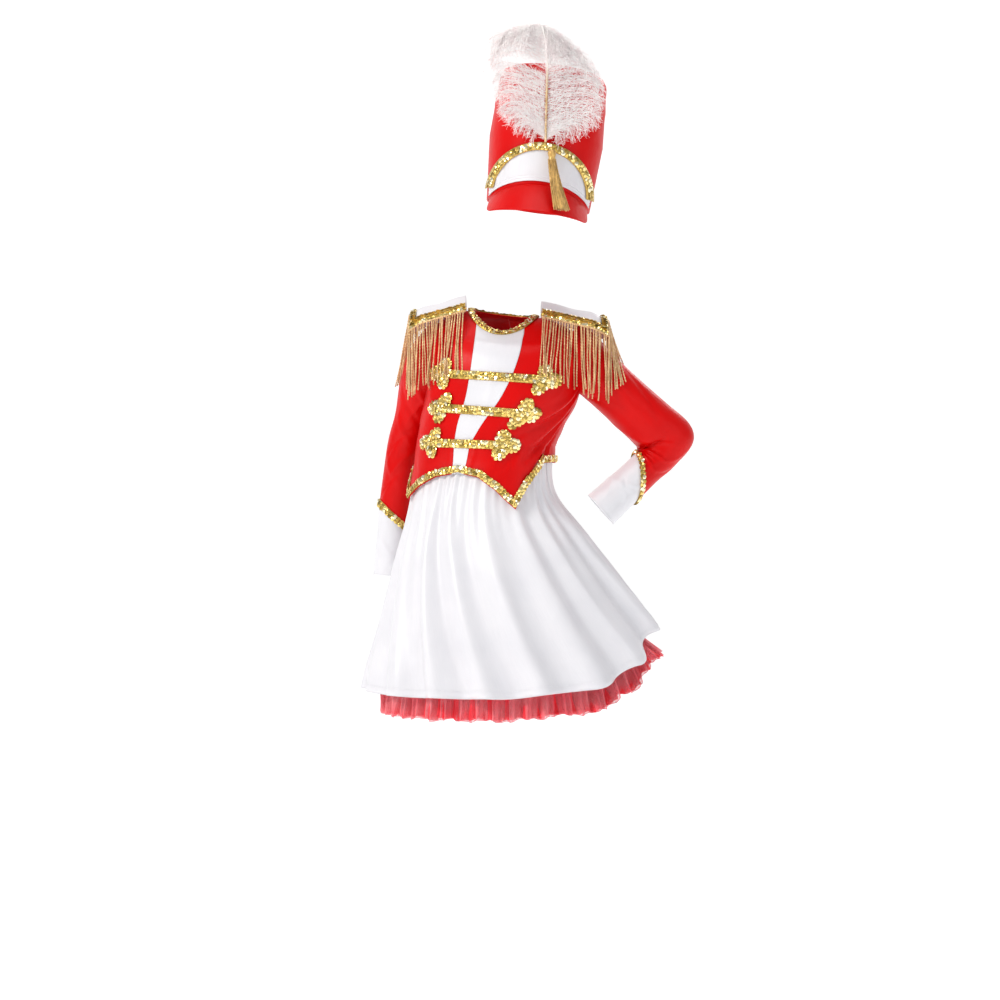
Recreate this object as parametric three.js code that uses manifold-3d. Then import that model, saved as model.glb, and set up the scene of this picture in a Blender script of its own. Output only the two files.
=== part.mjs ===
// Majorette costume for a child: a frogged bodice with sleeves, shoulder boards and a gathered
// skirt over a tulle petticoat, and a plumed shako hat. It keeps the hollow form of the wearer.
// Millimetres, +Z up, front towards -Y. Right and left are the wearer's own: right lies at -X.
// The origin is the middle of the neck opening.
import * as THREE from 'three';
import { mergeVertices } from 'three/addons/utils/BufferGeometryUtils.js';
import Module from 'manifold-3d';

const wasm = await Module();
wasm.setup();

// Cloth and seams
const SATIN_WALL = 1.5;
const TULLE_WALL = 1.2;
const SEAM_GAP = 0.4;
const TULLE_SEAM_GAP = 0.6;
const TRIM_LIFT = 0.8;
const SLIVER = 0.006;
const WELD = 1e-4;

// Bodice: rings from the waist up to the neck. Widths and depths are half sizes, yaw turns the
// front towards -X, tilt drops the wearer's left side, wedge is half the white centre panel.
const TORSO_SECTIONS = [
  { z: -200, x: -27, y: 0, width: 109, depth: 86, yaw: 25, tilt: 0, frontDrop: 0, wedge: 13 },
  { z: -168, x: -18, y: 0, width: 112, depth: 89, yaw: 22, tilt: 0.5, frontDrop: 0, wedge: 20 },
  { z: -132, x: -4, y: 0, width: 117, depth: 93, yaw: 18, tilt: 1.5, frontDrop: 0, wedge: 27 },
  { z: -96, x: 2, y: 0, width: 120, depth: 93, yaw: 14, tilt: 2.5, frontDrop: 2, wedge: 32 },
  { z: -62, x: 4, y: 0, width: 122, depth: 87, yaw: 11, tilt: 3, frontDrop: 6, wedge: 35 },
  { z: -34, x: 4, y: 0, width: 119, depth: 76, yaw: 9.5, tilt: 3.5, frontDrop: 14, wedge: 36 },
  { z: -14, x: 3, y: 0, width: 104, depth: 64, yaw: 9, tilt: 4, frontDrop: 24, wedge: 36 },
  { z: 1, x: 2, y: 0, width: 75, depth: 54, yaw: 8, tilt: 5, frontDrop: 32, wedge: 36 },
  { z: 8, x: 1, y: 0, width: 46, depth: 43, yaw: 8, tilt: 7, frontDrop: 33, wedge: 35 },
];
const TORSO_SQUARENESS = 0.05;
const NECK_LEVEL = TORSO_SECTIONS.length - 1;
const LEVEL_HALVINGS = 24;

// Skirt: rings from the waist down to the hem, at equal steps
const SKIRT_SECTIONS = [
  { x: -27, y: 0, width: 109, depth: 86, yaw: 25 },
  { x: -33, y: 0, width: 121, depth: 104, yaw: 24 },
  { x: -20, y: 2, width: 158, depth: 140, yaw: 20 },
  { x: -5, y: 4, width: 199, depth: 172, yaw: 14 },
  { x: 10, y: 6, width: 237, depth: 196, yaw: 8 },
];
const WAIST_Z = TORSO_SECTIONS[0].z;
const SKIRT_HEM = [
  { angle: -180, z: -538 },
  { angle: -135, z: -566 },
  { angle: -90, z: -575 },
  { angle: -45, z: -577 },
  { angle: 0, z: -576 },
  { angle: 40, z: -563 },
  { angle: 66, z: -530 },
  { angle: 86, z: -482 },
  { angle: 108, z: -472 },
  { angle: 140, z: -490 },
  { angle: 180, z: -538 },
];

// The skirt's edge: fine gathers at the waist run out into broad flutes at the hem
const GATHER_COUNT = 28;
const FLUTE_COUNT = 16;
const SKIRT_COLUMNS = 112;
const GATHER_DEPTH = 1.6;
const FLUTE_DEPTH = 16.9;
const GATHER_FADE = { from: 0.14, to: 0.42 };
const FLUTE_RISE = { from: 0.04, to: 1.3 };
// The flutes drift from even spacing by slow waves, and their depth swings about its mean
const FLUTE_DRIFT = [
  { turns: 2, phase: 1, size: 0.16 },
  { turns: 5, phase: 0, size: 0.07 },
];
const FLUTE_SHARE = { mean: 0.82, swing: 0.18, turns: 3, phase: 2 };
const SKIRT_ROWS = [0, 0.12, 0.26, 0.44, 0.68, 1];
const SKIRT_TUCK = 2.6;
const TUCK_END = 0.42;

// Petticoat: how far it shows below the skirt, and how far it stands out there
const RUFFLE_COUNT = 28;
const RUFFLE_DEPTH = 5;
const PETTICOAT_ROWS = [0.44, 0.6, 1];
const PETTICOAT_SHOW = [
  { angle: -180, drop: 26, flare: 6 },
  { angle: -90, drop: 30, flare: 2 },
  { angle: 0, drop: 32, flare: 4 },
  { angle: 60, drop: 32, flare: 18 },
  { angle: 95, drop: 30, flare: 36 },
  { angle: 140, drop: 26, flare: 20 },
  { angle: 180, drop: 26, flare: 6 },
];
const PETTICOAT_GAP = 3;
const PETTICOAT_FLARE_LEVEL = -0.9;

// Lower edge of the bodice, with a point over each hip and an arch at the centre front
const RIGHT_POINT_ANGLE = -56;
const LEFT_POINT_ANGLE = 46;
const BODICE_HEM = [
  { angle: -180, z: -226 },
  { angle: -100, z: -228 },
  { angle: -76, z: -238 },
  { angle: RIGHT_POINT_ANGLE, z: -281 },
  { angle: -38, z: -262 },
  { angle: -20, z: -247 },
  { angle: 0, z: -241 },
  { angle: 17, z: -248 },
  { angle: 31, z: -267 },
  { angle: LEFT_POINT_ANGLE, z: -296 },
  { angle: 58, z: -262 },
  { angle: 76, z: -226 },
  { angle: 100, z: -224 },
  { angle: 180, z: -226 },
];
const SIDE_SEAM_ANGLE = 94;
const NARROWEST_SPAN = 10;
const BASQUE_ROWS = [1, 0.5];
const WEDGE_TIP = 0.75;
const BODICE_LEVELS = [0, 1, 2, 3, 4, 5, 5.7, 6.4, 7.1, NECK_LEVEL];

// Tension folds of the bodice, from the arm towards the waist
const BODICE_FOLDS = [
  { fromAngle: 84, fromZ: -112, toAngle: 50, toZ: -168, width: 9, height: 2.4 },
  { fromAngle: 92, fromZ: -140, toAngle: 54, toZ: -196, width: 8, height: 2.2 },
  { fromAngle: -86, fromZ: -120, toAngle: -52, toZ: -178, width: 8, height: 1.8 },
  { fromAngle: 130, fromZ: -108, toAngle: 160, toZ: -176, width: 10, height: 2 },
  { fromAngle: -128, fromZ: -104, toAngle: -156, toZ: -170, width: 9, height: 1.8 },
];
const FOLD_REACH = 110;
const FOLD_END = 0.05;

// Sleeves and cuffs: sections from inside the shoulder to the cuff's end. The lean is the way
// that the section's outer side points, in degrees from +X towards +Z.
const RIGHT_ARM = [
  { x: -84, y: 14, z: -38, lean: 130, across: 43, depth: 42 },
  { x: -112, y: 28, z: -70, lean: 140, across: 41, depth: 42 },
  { x: -129, y: 50, z: -105, lean: 155, across: 34, depth: 38 },
  { x: -140, y: 70, z: -145, lean: 166, across: 29, depth: 34 },
  { x: -154, y: 84, z: -190, lean: 170, across: 28, depth: 32 },
  { x: -163, y: 94, z: -240, lean: 174, across: 27, depth: 31 },
  { x: -170, y: 102, z: -292, lean: 175, across: 27, depth: 29 },
  { x: -174, y: 106, z: -345, lean: 176, across: 27.5, depth: 28.5 },
  { x: -179, y: 110, z: -402, lean: 177, across: 28, depth: 28 },
];
const LEFT_ARM = [
  { x: 92, y: -14, z: -38, lean: 45, across: 43, depth: 42 },
  { x: 134, y: -18, z: -78, lean: 46, across: 41, depth: 42 },
  { x: 172, y: -12, z: -113, lean: 50, across: 39, depth: 41 },
  { x: 233, y: 2, z: -168, lean: 52, across: 41, depth: 41 },
  { x: 253, y: 12, z: -191, lean: 12, across: 45, depth: 40 },
  { x: 240, y: 10, z: -214, lean: -20, across: 32.5, depth: 37 },
  { x: 226, y: -2, z: -227, lean: -48, across: 28, depth: 33 },
  { x: 203, y: -16, z: -249, lean: -49, across: 27.5, depth: 30 },
  { x: 176, y: -32, z: -273, lean: -49, across: 28.5, depth: 29 },
  { x: 149, y: -48, z: -297, lean: -49, across: 30, depth: 29 },
];
const RIGHT_CUFF = { seam: 6.4, slantAcross: -0.42, slantFront: 0 };
const LEFT_CUFF = { seam: 6.9, slantAcross: 0.7, slantFront: -0.3 };
const ARM_COLUMNS = 16;
const SLEEVE_ROW_STEP = 0.6;
const CUFF_ROWS = [0, 0.5, 1];
const CUFF_GAP = 0.01;
const PLUG_PLACES = [0, 0.5, 1, 1.5, 2, 2.5];
const CUFF_TRIM_BELOW = 0.07;
const CUFF_TRIM_ABOVE = 0.17;

// Sequin trims and frogging
const TRIM_WIDTH = 10;
const TRIM_HEIGHT = 2.6;
const TRIM_EDGE_HEIGHT = 1.17;
const TRIM_ROWS = [0, 0.5, 1];
const HEM_TRIM_MARGIN = 1;
const HEM_TRIM_LEVEL = -0.25;
const NECK_TRIM_INSETS = [1, 5, 9.5];
const NECK_TRIM_COLUMNS = 28;
const SETTLE_REACH = 20;
const FROGS = [
  { z: -95, fall: 12, startAngle: -39, endAngle: 41 },
  { z: -147, fall: 11, startAngle: -32, endAngle: 38 },
  { z: -197, fall: 5, startAngle: -30, endAngle: 34 },
];
const BRAID_WIDTH = 13;
const BRAID_INSET = 6.8;
const BRAID_COLUMNS = 10;
const CLOVER_RADIUS = 16;
const CLOVER_LOBE = 0.42;
const CLOVER_POINTS = 15;
const CLOVER_HEIGHT = 3;
const CLOVER_RISE = 0.62;
const CLOVER_CORE = 0.05;
const CLOVER_LOBES = 3;
const CLOVER_SHIFT = 2;
const CLOVER_LIFT = 0.9;

// Shoulder boards: a row is the neck end, the shoulder end, and the heights of the ridge
const RIGHT_BOARD = {
  neck: { x: -57, y: 0 }, end: { x: -144, y: 20 }, ridge: { neck: 22, end: 0 }, side: 1,
};
const LEFT_BOARD = {
  neck: { x: 59, y: -7 }, end: { x: 160, y: -22 }, ridge: { neck: 12, end: -12 }, side: -1,
};
const BOARD_HALF_DEPTH = { neck: 41, end: 44 };
const BOARD_DOME = 27;
const BOARD_TRIM_LIFT = 1.4;
const BOARD_TRIM_ROWS = [
  { inset: 1, height: TRIM_HEIGHT / 2 },
  { inset: TRIM_WIDTH / 2, height: TRIM_HEIGHT },
  { inset: TRIM_WIDTH - 1, height: TRIM_HEIGHT / 2 },
];
const BOARD_TIP_DROP = 9;
const BOARD_TIP_BEND = { from: 0.75, to: 1.1 };
const BOARD_CORNER = { start: 0.8, cut: 0.12 };
const BOARD_CLEARANCE = 0.5;
const BOARD_COLUMNS = 6;
const BOARD_ROWS = 6;

// Bullion fringe
const FRINGE_STEP = 7.1;
const FRINGE_LENGTH = { neck: 104, end: 108, back: 96 };
const STRAND_RADIUS = 0.85;
const STRAND_TIP_RADIUS = 0.425;
const STRAND_CORNERS = [90, 210, 330];
const STRAND_ROOT_DEPTH = 1.5;
const LENGTH_SWING = { size: 0.05, turns: 2.4 };
const STRAND_CLEARANCE = 3.2;
const STRAND_SPARE = 2.5;
const STRAND_NODES = [6, 18, 48];
const TIP_FALL = { outward: 0.45, aside: 0.55, from: 0.3, to: 0.7 };
const TASSEL_NODES = [20, 48];
const HANG_STEPS = 48;
const STRIP_DEPTH = 2.6;
const STRIP_HEIGHT = 3;
const STRIP_TOP = 0.5;

// Hat: it sits above the neck and leans to the wearer's left
const HAT_PLACE = { x: 54, y: -15, z: 171, roll: 7.2 };
const HAT_SECTIONS = [
  { z: 0, width: 80, depth: 88 },
  { z: 100, width: 88, depth: 93 },
  { z: 186, width: 83, depth: 87 },
];
const HAT_WALL = 2;
const HAT_COLUMNS = 36;
const HAT_TOP = [
  { z: 187, scale: 1 },
  { z: 203, scale: 0.93 },
  { z: 210, scale: 0.7 },
];
const VISOR_SPAN = 70;
const VISOR_SEAM = { end: 2, rise: 24 };
const VISOR_REACH = 34;
const VISOR_DROP = { end: 24, middle: 34 };
const VISOR_DROP_POWER = 1.15;
const VISOR_SIDE_REACH = 0.55;
const VISOR_LIP = 1.5;
const VISOR_WALL_SLANT = 0.4;
const VISOR_TUCK = 3;
const BAND_SPAN = 82;
const BAND_ARCH = { end: 4, rise: 81 };
const BAND_MARGIN = { low: 1, high: 2 };
const BAND_COLUMNS = 14;
const HAT_BRAID_COLUMNS = 16;
const HAT_BRAID_STAND = 2;
const HAT_BRAID_WIDTH = 12;
const TASSEL_STRANDS = 16;
const TASSEL_HEAD = { x: 10, z: 74, radius: 6.5, length: 16 };
const TASSEL_LENGTH = 82;
const TASSEL_PROFILE = [
  { fall: 0, radius: 3.25 },
  { fall: 3, radius: 6.5 },
  { fall: 9.6, radius: 5.2 },
  { fall: 16, radius: 6.5 },
];
const TASSEL_SIDES = 8;
const TASSEL_SPREAD = 0.82;
const TASSEL_ROOT_DEPTH = 2;
const TASSEL_SWING = { size: 0.05, turns: 2 };
const TASSEL_LEAN = 11;
const GOLDEN_TURN = Math.PI * (3 - Math.sqrt(5));
const TASSEL_STAND = 4.1;

// Ostrich plume: half widths to each side of the quill, how far it bows forward and curls to the right
const PLUME_FOOT = { x: -1, z: 84 };
const PLUME_SECTIONS = [
  { rise: 0, right: 10, left: 9, bow: 8, curl: 0 },
  { rise: 14, right: 46, left: 46, bow: 9, curl: 1.5 },
  { rise: 34, right: 70, left: 75, bow: 10, curl: 3.5 },
  { rise: 64, right: 80, left: 85, bow: 10, curl: 6.5 },
  { rise: 94, right: 86, left: 86, bow: 11, curl: 9.5 },
  { rise: 122, right: 88, left: 66, bow: 15, curl: 12.5 },
  { rise: 144, right: 84, left: 42, bow: 22, curl: 17 },
  { rise: 160, right: 60, left: 28, bow: 30, curl: 23 },
  { rise: 169, right: 24, left: 12, bow: 36, curl: 27 },
];
const PLUME_STAND = 4.7;
const PLUME_THICKNESS = 5;
const PLUME_WRAP = 0.0016;
const PLUME_OUTLINE = [
  { across: -1, thick: 0 },
  { across: -0.55, thick: 1 },
  { across: 0, thick: 1 },
  { across: 0.55, thick: 1 },
  { across: 1, thick: 0 },
  { across: 0.55, thick: -1 },
  { across: 0, thick: -1 },
  { across: -0.55, thick: -1 },
];
const QUILL_RADIUS = 1.6;
const QUILL_GAP = 0.5;
const QUILL_SIDES = 5;
const QUILL_TIP = 0.4;

// Colours
const RED_SATIN = { color: 0xe01818, roughness: 0.35, metalness: 0 };
const WHITE_SATIN = { color: 0xf2f0f3, roughness: 0.35, metalness: 0 };
const GOLD_SEQUIN = { color: 0xd8b23a, roughness: 0.25, metalness: 0.9 };
const GOLD_FRINGE = { color: 0xd9a45e, roughness: 0.45, metalness: 0.6 };
const RED_TULLE = { color: 0xe8283c, roughness: 0.8, metalness: 0 };
const FEATHER = { color: 0xf8e9ea, roughness: 0.9, metalness: 0 };
const QUILL = { color: 0xc9a46a, roughness: 0.5, metalness: 0 };

const costume = new THREE.Group();
const hat = new THREE.Group();

const radians = THREE.MathUtils.degToRad;
const degrees = THREE.MathUtils.radToDeg;
const mix = THREE.MathUtils.lerp;

// Tables: a smooth curve through rows at equal steps, and a line or soft step between keyed rows
function blendRows(table, position) {
  const last = table.length - 1;
  const index = Math.min(Math.max(Math.floor(position), 0), last - 1);
  const t = position - index;
  const row = {};
  for (const key of Object.keys(table[0])) {
    const before = table[Math.max(index - 1, 0)][key];
    const start = table[index][key];
    const end = table[index + 1][key];
    const after = table[Math.min(index + 2, last)][key];
    const startSlope = (end - before) / 2;
    const endSlope = (after - start) / 2;
    const bend = 3 * (end - start) - 2 * startSlope - endSlope;
    const twist = 2 * (start - end) + startSlope + endSlope;
    row[key] = start + startSlope * t + bend * t * t + twist * t * t * t;
  }
  return row;
}

function readTable(table, key, column, value, soft) {
  let index = 0;
  while (index < table.length - 2 && value > table[index + 1][key]) {
    index += 1;
  }
  const low = table[index];
  const high = table[index + 1];
  let t = (value - low[key]) / (high[key] - low[key]);
  if (soft) {
    t = THREE.MathUtils.smoothstep(t, 0, 1);
  }
  return mix(low[column], high[column], t);
}

function wrapAngle(angle) {
  return angle - 360 * Math.floor((angle + 180) / 360);
}

// Closed solids
function facingOut(places, faces) {
  const geometry = new THREE.BufferGeometry();
  const a = new THREE.Vector3();
  const b = new THREE.Vector3();
  const c = new THREE.Vector3();
  let volume = 0;
  for (let i = 0; i < faces.length; i += 3) {
    a.fromArray(places, faces[i] * 3);
    b.fromArray(places, faces[i + 1] * 3);
    c.fromArray(places, faces[i + 2] * 3);
    volume += a.dot(b.cross(c));
  }
  if (volume < 0) {
    faces.reverse();
  }
  geometry.setAttribute('position', new THREE.Float32BufferAttribute(places, 3));
  geometry.setIndex(faces);
  return geometry;
}

function closedWall(outer, inner, wraps) {
  const rows = outer.length;
  const columns = outer[0].length;
  const places = [outer, inner].flat(2).flatMap((point) => point.toArray());
  const at = (side, row, column) => (side * rows + row) * columns + (column % columns);
  const faces = [];
  const quad = (a, b, c, d) => faces.push(a, b, c, a, c, d);
  const spans = wraps ? columns : columns - 1;
  const top = rows - 1;
  const end = columns - 1;
  for (let c = 0; c < spans; c += 1) {
    for (let r = 0; r < top; r += 1) {
      quad(at(0, r, c), at(0, r, c + 1), at(0, r + 1, c + 1), at(0, r + 1, c));
      quad(at(1, r, c), at(1, r + 1, c), at(1, r + 1, c + 1), at(1, r, c + 1));
    }
    quad(at(0, 0, c), at(1, 0, c), at(1, 0, c + 1), at(0, 0, c + 1));
    quad(at(0, top, c), at(0, top, c + 1), at(1, top, c + 1), at(1, top, c));
  }
  for (let r = 0; r < top && !wraps; r += 1) {
    quad(at(0, r, 0), at(0, r + 1, 0), at(1, r + 1, 0), at(1, r, 0));
    quad(at(0, r, end), at(1, r, end), at(1, r + 1, end), at(0, r + 1, end));
  }
  return facingOut(places, faces);
}

function loftRings(rings) {
  const count = rings[0].length;
  const places = rings.flat().flatMap((point) => point.toArray());
  const faces = [];
  for (let r = 0; r < rings.length - 1; r += 1) {
    for (let c = 0; c < count; c += 1) {
      const here = r * count + c;
      const next = r * count + ((c + 1) % count);
      faces.push(here, next, next + count, here, next + count, here + count);
    }
  }
  const capRing = (ring, flipped) => {
    const first = ring * count;
    if (count === 3) {
      faces.push(...(flipped ? [first, first + 2, first + 1] : [first, first + 1, first + 2]));
      return;
    }
    const centre = new THREE.Vector3();
    rings[ring].forEach((point) => centre.addScaledVector(point, 1 / count));
    places.push(...centre.toArray());
    const middle = places.length / 3 - 1;
    for (let c = 0; c < count; c += 1) {
      const here = first + c;
      const next = first + ((c + 1) % count);
      faces.push(...(flipped ? [middle, next, here] : [middle, here, next]));
    }
  };
  capRing(0, true);
  capRing(rings.length - 1, false);
  return facingOut(places, faces);
}

function toSolid(geometry) {
  const merged = mergeVertices(geometry, WELD);
  return new wasm.Manifold(new wasm.Mesh({
    numProp: 3,
    vertProperties: new Float32Array(merged.attributes.position.array),
    triVerts: new Uint32Array(merged.index.array),
  }));
}

function toGeometry(solid) {
  const mesh = solid.simplify(SLIVER).getMesh();
  const geometry = new THREE.BufferGeometry();
  geometry.setAttribute('position', new THREE.BufferAttribute(new Float32Array(mesh.vertProperties), 3));
  geometry.setIndex(new THREE.BufferAttribute(new Uint32Array(mesh.triVerts), 1));
  return geometry;
}

function cutAway(geometry, ...cutters) {
  return toGeometry(cutters.reduce((rest, cutter) => rest.subtract(toSolid(cutter)), toSolid(geometry)));
}

function addPiece(name, geometry, finish, group = costume) {
  const mesh = new THREE.Mesh(geometry, new THREE.MeshStandardMaterial(finish));
  mesh.name = name;
  group.add(mesh);
  return mesh;
}

function spread(from, to, count) {
  return Array.from({ length: count + 1 }, (_, i) => mix(from, to, i / count));
}

const caster = new THREE.Raycaster();

function firstHit(origin, direction, meshes) {
  caster.set(origin, direction);
  const hits = caster.intersectObjects(meshes, false);
  return hits.length > 0 ? hits[0].point : null;
}

// A grid of points on a surface, and the same grid moved along its normals
const STEP = 1e-3;

function normalAt(surface, u, v) {
  const along = surface(u + STEP, v).sub(surface(u - STEP, v));
  const up = surface(u, v + STEP).sub(surface(u, v - STEP));
  return along.cross(up).normalize();
}

function lifted(surface, u, v, lift) {
  return surface(u, v).addScaledVector(normalAt(surface, u, v), lift);
}

// The dress surface: angle in degrees from the centre front towards the wearer's left, level
// above 0 for the bodice's rings and below 0 for the skirt's, down to -1 at its hem
function skirtHemZ(angle) {
  return readTable(SKIRT_HEM, 'angle', 'z', wrapAngle(angle), true);
}

function bodiceHemLevel(angle) {
  const z = readTable(BODICE_HEM, 'angle', 'z', wrapAngle(angle), false);
  return (z - WAIST_Z) / (WAIST_Z - skirtHemZ(angle));
}

function foldHeight(angle, z) {
  let height = 0;
  for (const fold of BODICE_FOLDS) {
    const runX = radians(fold.toAngle - fold.fromAngle) * FOLD_REACH;
    const runZ = fold.toZ - fold.fromZ;
    const offX = radians(wrapAngle(angle - fold.fromAngle)) * FOLD_REACH;
    const offZ = z - fold.fromZ;
    const length = Math.hypot(runX, runZ);
    const t = THREE.MathUtils.clamp((offX * runX + offZ * runZ) / (length * length), 0, 1);
    const away = Math.hypot(offX - runX * t, offZ - runZ * t) / fold.width;
    const strength = Math.sin(Math.PI * THREE.MathUtils.clamp(t, FOLD_END, 1 - FOLD_END));
    height += fold.height * strength * Math.exp(-away * away);
  }
  return height;
}

function dressPoint(angle, level) {
  const turn = radians(angle);
  const inSkirt = level < 0;
  const row = inSkirt ? blendRows(SKIRT_SECTIONS, -level * (SKIRT_SECTIONS.length - 1))
    : blendRows(TORSO_SECTIONS, level);
  const squareness = inSkirt ? TORSO_SQUARENESS * Math.max(0, 1 + 3 * level) : TORSO_SQUARENESS;
  const bulge = 1 + squareness * Math.sin(2 * turn) ** 2;
  const rise = inSkirt ? 0 : foldHeight(angle, row.z);
  const across = (row.width + rise) * Math.sin(turn) * bulge;
  const ahead = (row.depth + rise) * Math.cos(turn) * bulge;
  const yaw = radians(row.yaw);
  const x = row.x + across * Math.cos(yaw) - ahead * Math.sin(yaw);
  const y = row.y - across * Math.sin(yaw) - ahead * Math.cos(yaw);
  if (inSkirt) {
    return new THREE.Vector3(x, y, mix(WAIST_Z, skirtHemZ(angle), -level));
  }
  const drop = row.frontDrop * Math.max(0, Math.cos(turn)) ** 2;
  return new THREE.Vector3(x, y, row.z - drop - Math.tan(radians(row.tilt)) * x);
}

function levelAt(angle, z) {
  if (z < WAIST_Z) {
    return (z - WAIST_Z) / (WAIST_Z - skirtHemZ(angle));
  }
  let low = 0;
  let high = NECK_LEVEL;
  for (let i = 0; i < LEVEL_HALVINGS; i += 1) {
    const middle = (low + high) / 2;
    if (dressPoint(angle, middle).z < z) {
      low = middle;
    } else {
      high = middle;
    }
  }
  return low;
}

// Bodice panels: angles of each panel's columns at a level, from its right to its left edge
function wedgeAngle(level) {
  const row = level < 0 ? TORSO_SECTIONS[0] : blendRows(TORSO_SECTIONS, level);
  const narrowing = level < 0 ? mix(1, WEDGE_TIP, -level) : 1;
  return degrees(Math.asin(row.wedge * narrowing / row.width));
}

const BODICE_PANELS = [
  { name: 'bodice_back_right', finish: RED_SATIN, counts: [9], knots: () => [-180, -SIDE_SEAM_ANGLE] },
  {
    name: 'bodice_front_right', finish: RED_SATIN, counts: [4, 6],
    knots: (level) => [-SIDE_SEAM_ANGLE, RIGHT_POINT_ANGLE, -wedgeAngle(level)],
  },
  {
    name: 'bodice_front_center', finish: WHITE_SATIN, counts: [5],
    knots: (level) => [-wedgeAngle(level), wedgeAngle(level)],
  },
  {
    name: 'bodice_front_left', finish: RED_SATIN, counts: [5, 5],
    knots: (level) => [
      wedgeAngle(level), Math.max(LEFT_POINT_ANGLE, wedgeAngle(level) + NARROWEST_SPAN), SIDE_SEAM_ANGLE,
    ],
  },
  { name: 'bodice_back_left', finish: RED_SATIN, counts: [9], knots: () => [SIDE_SEAM_ANGLE, 180] },
];

function panelAngles(panel, level, gap) {
  const knots = panel.knots(level);
  const row = level < 0 ? TORSO_SECTIONS[0] : blendRows(TORSO_SECTIONS, level);
  const inset = degrees(gap / 2 / Math.min(row.width, row.depth));
  knots[0] += inset;
  knots[knots.length - 1] -= inset;
  const angles = [knots[0]];
  panel.counts.forEach((count, span) => {
    for (let i = 1; i <= count; i += 1) {
      angles.push(mix(knots[span], knots[span + 1], i / count));
    }
  });
  return angles;
}

function bodiceGrid(anglesAt, lift) {
  const rows = [
    ...BASQUE_ROWS.map((share) => ({ level: -share, share })),
    ...BODICE_LEVELS.map((level) => ({ level, share: 0 })),
  ];
  return rows.map(({ level, share }) => anglesAt(level).map((angle) => {
    const place = share > 0 ? bodiceHemLevel(angle) * share : level;
    return lifted(dressPoint, angle, place, lift);
  }));
}

// Arms: a section's ring at a place along the arm, turn 0 on the outer side, 90 at the front
function armPoint(sections, turn, place) {
  const row = blendRows(sections, place);
  const lean = radians(row.lean);
  const reach = row.across * Math.cos(radians(turn));
  return new THREE.Vector3(
    row.x + Math.cos(lean) * reach,
    row.y - row.depth * Math.sin(radians(turn)),
    row.z + Math.sin(lean) * reach,
  );
}

function cuffSeam(cuff, turn) {
  const slant = cuff.slantAcross * Math.cos(radians(turn));
  return cuff.seam + slant + cuff.slantFront * Math.sin(radians(turn));
}

function armGrid(sections, placesAt, lift) {
  const grid = [];
  const turns = Array.from({ length: ARM_COLUMNS }, (_, i) => 360 * i / ARM_COLUMNS);
  const surface = (turn, place) => armPoint(sections, turn, place);
  const outward = sections === LEFT_ARM ? 1 : -1;
  const count = placesAt(0).length;
  for (let r = 0; r < count; r += 1) {
    grid.push(turns.map((turn) => lifted(surface, turn, placesAt(turn)[r], lift * outward)));
  }
  return grid;
}

function sleevePlaces(cuff, turn) {
  const rows = Math.round(cuff.seam / SLEEVE_ROW_STEP);
  const end = cuffSeam(cuff, turn);
  return Array.from({ length: rows + 1 }, (_, i) => {
    const share = i / rows;
    const straight = cuff.seam * share;
    return mix(straight, end * share, share * share);
  });
}

function cuffPlaces(cuff, turn, last) {
  const start = cuffSeam(cuff, turn) + CUFF_GAP;
  return CUFF_ROWS.map((share) => mix(start, last, share));
}

// Trim: rows from one edge to the other with a rounded back
function trimWall(surfacePoint, rows, columns, wraps) {
  const outer = rows.map((row, r) => columns.map((column) => {
    const edge = r === 0 || r === rows.length - 1;
    return surfacePoint(column, row, TRIM_LIFT + (edge ? TRIM_EDGE_HEIGHT : TRIM_HEIGHT));
  }));
  const inner = rows.map((row) => columns.map((column) => surfacePoint(column, row, TRIM_LIFT)));
  return closedWall(outer, inner, wraps);
}

// Bodice
const torsoCutter = loftRings(bodiceGrid(
  (level) => BODICE_PANELS.flatMap((panel) => panelAngles(panel, level, 0).slice(1)), SEAM_GAP));

function armPlug(sections) {
  return loftRings(armGrid(sections, () => PLUG_PLACES, -SATIN_WALL));
}

const rightPlug = armPlug(RIGHT_ARM);
const leftPlug = armPlug(LEFT_ARM);

const bodice = BODICE_PANELS.map((panel) => {
  const anglesAt = (level) => panelAngles(panel, level, SEAM_GAP);
  const wall = closedWall(bodiceGrid(anglesAt, 0), bodiceGrid(anglesAt, -SATIN_WALL), false);
  return addPiece(panel.name, cutAway(wall, rightPlug, leftPlug), panel.finish);
});

// Sleeves, cuffs and the trim over the cuff seam
const ARMS = [
  { side: 'right', sections: RIGHT_ARM, cuff: RIGHT_CUFF },
  { side: 'left', sections: LEFT_ARM, cuff: LEFT_CUFF },
];

const sleeves = ARMS.map(({ side, sections, cuff }) => {
  const placesAt = (turn) => sleevePlaces(cuff, turn);
  const tube = closedWall(
    armGrid(sections, placesAt, 0), armGrid(sections, placesAt, -SATIN_WALL), true);
  return addPiece(`sleeve_${side}`, cutAway(tube, torsoCutter), RED_SATIN);
});

for (const { side, sections, cuff } of ARMS) {
  const last = sections.length - 1;
  const placesAt = (turn) => cuffPlaces(cuff, turn, last);
  const wall = closedWall(
    armGrid(sections, placesAt, 0), armGrid(sections, placesAt, -SATIN_WALL), true);
  addPiece(`cuff_${side}`, wall, WHITE_SATIN);
  const trimAt = (lift) => armGrid(sections, (turn) => {
    const seam = cuffSeam(cuff, turn);
    return [seam - CUFF_TRIM_ABOVE, seam - CUFF_TRIM_BELOW / 2, seam + CUFF_TRIM_BELOW];
  }, lift);
  const crown = trimAt(TRIM_LIFT + TRIM_HEIGHT);
  const edges = trimAt(TRIM_LIFT + TRIM_EDGE_HEIGHT);
  const outer = [edges[0], crown[1], edges[2]];
  addPiece(`cuff_trim_${side}`, closedWall(outer, trimAt(TRIM_LIFT), true), GOLD_SEQUIN);
}

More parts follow.
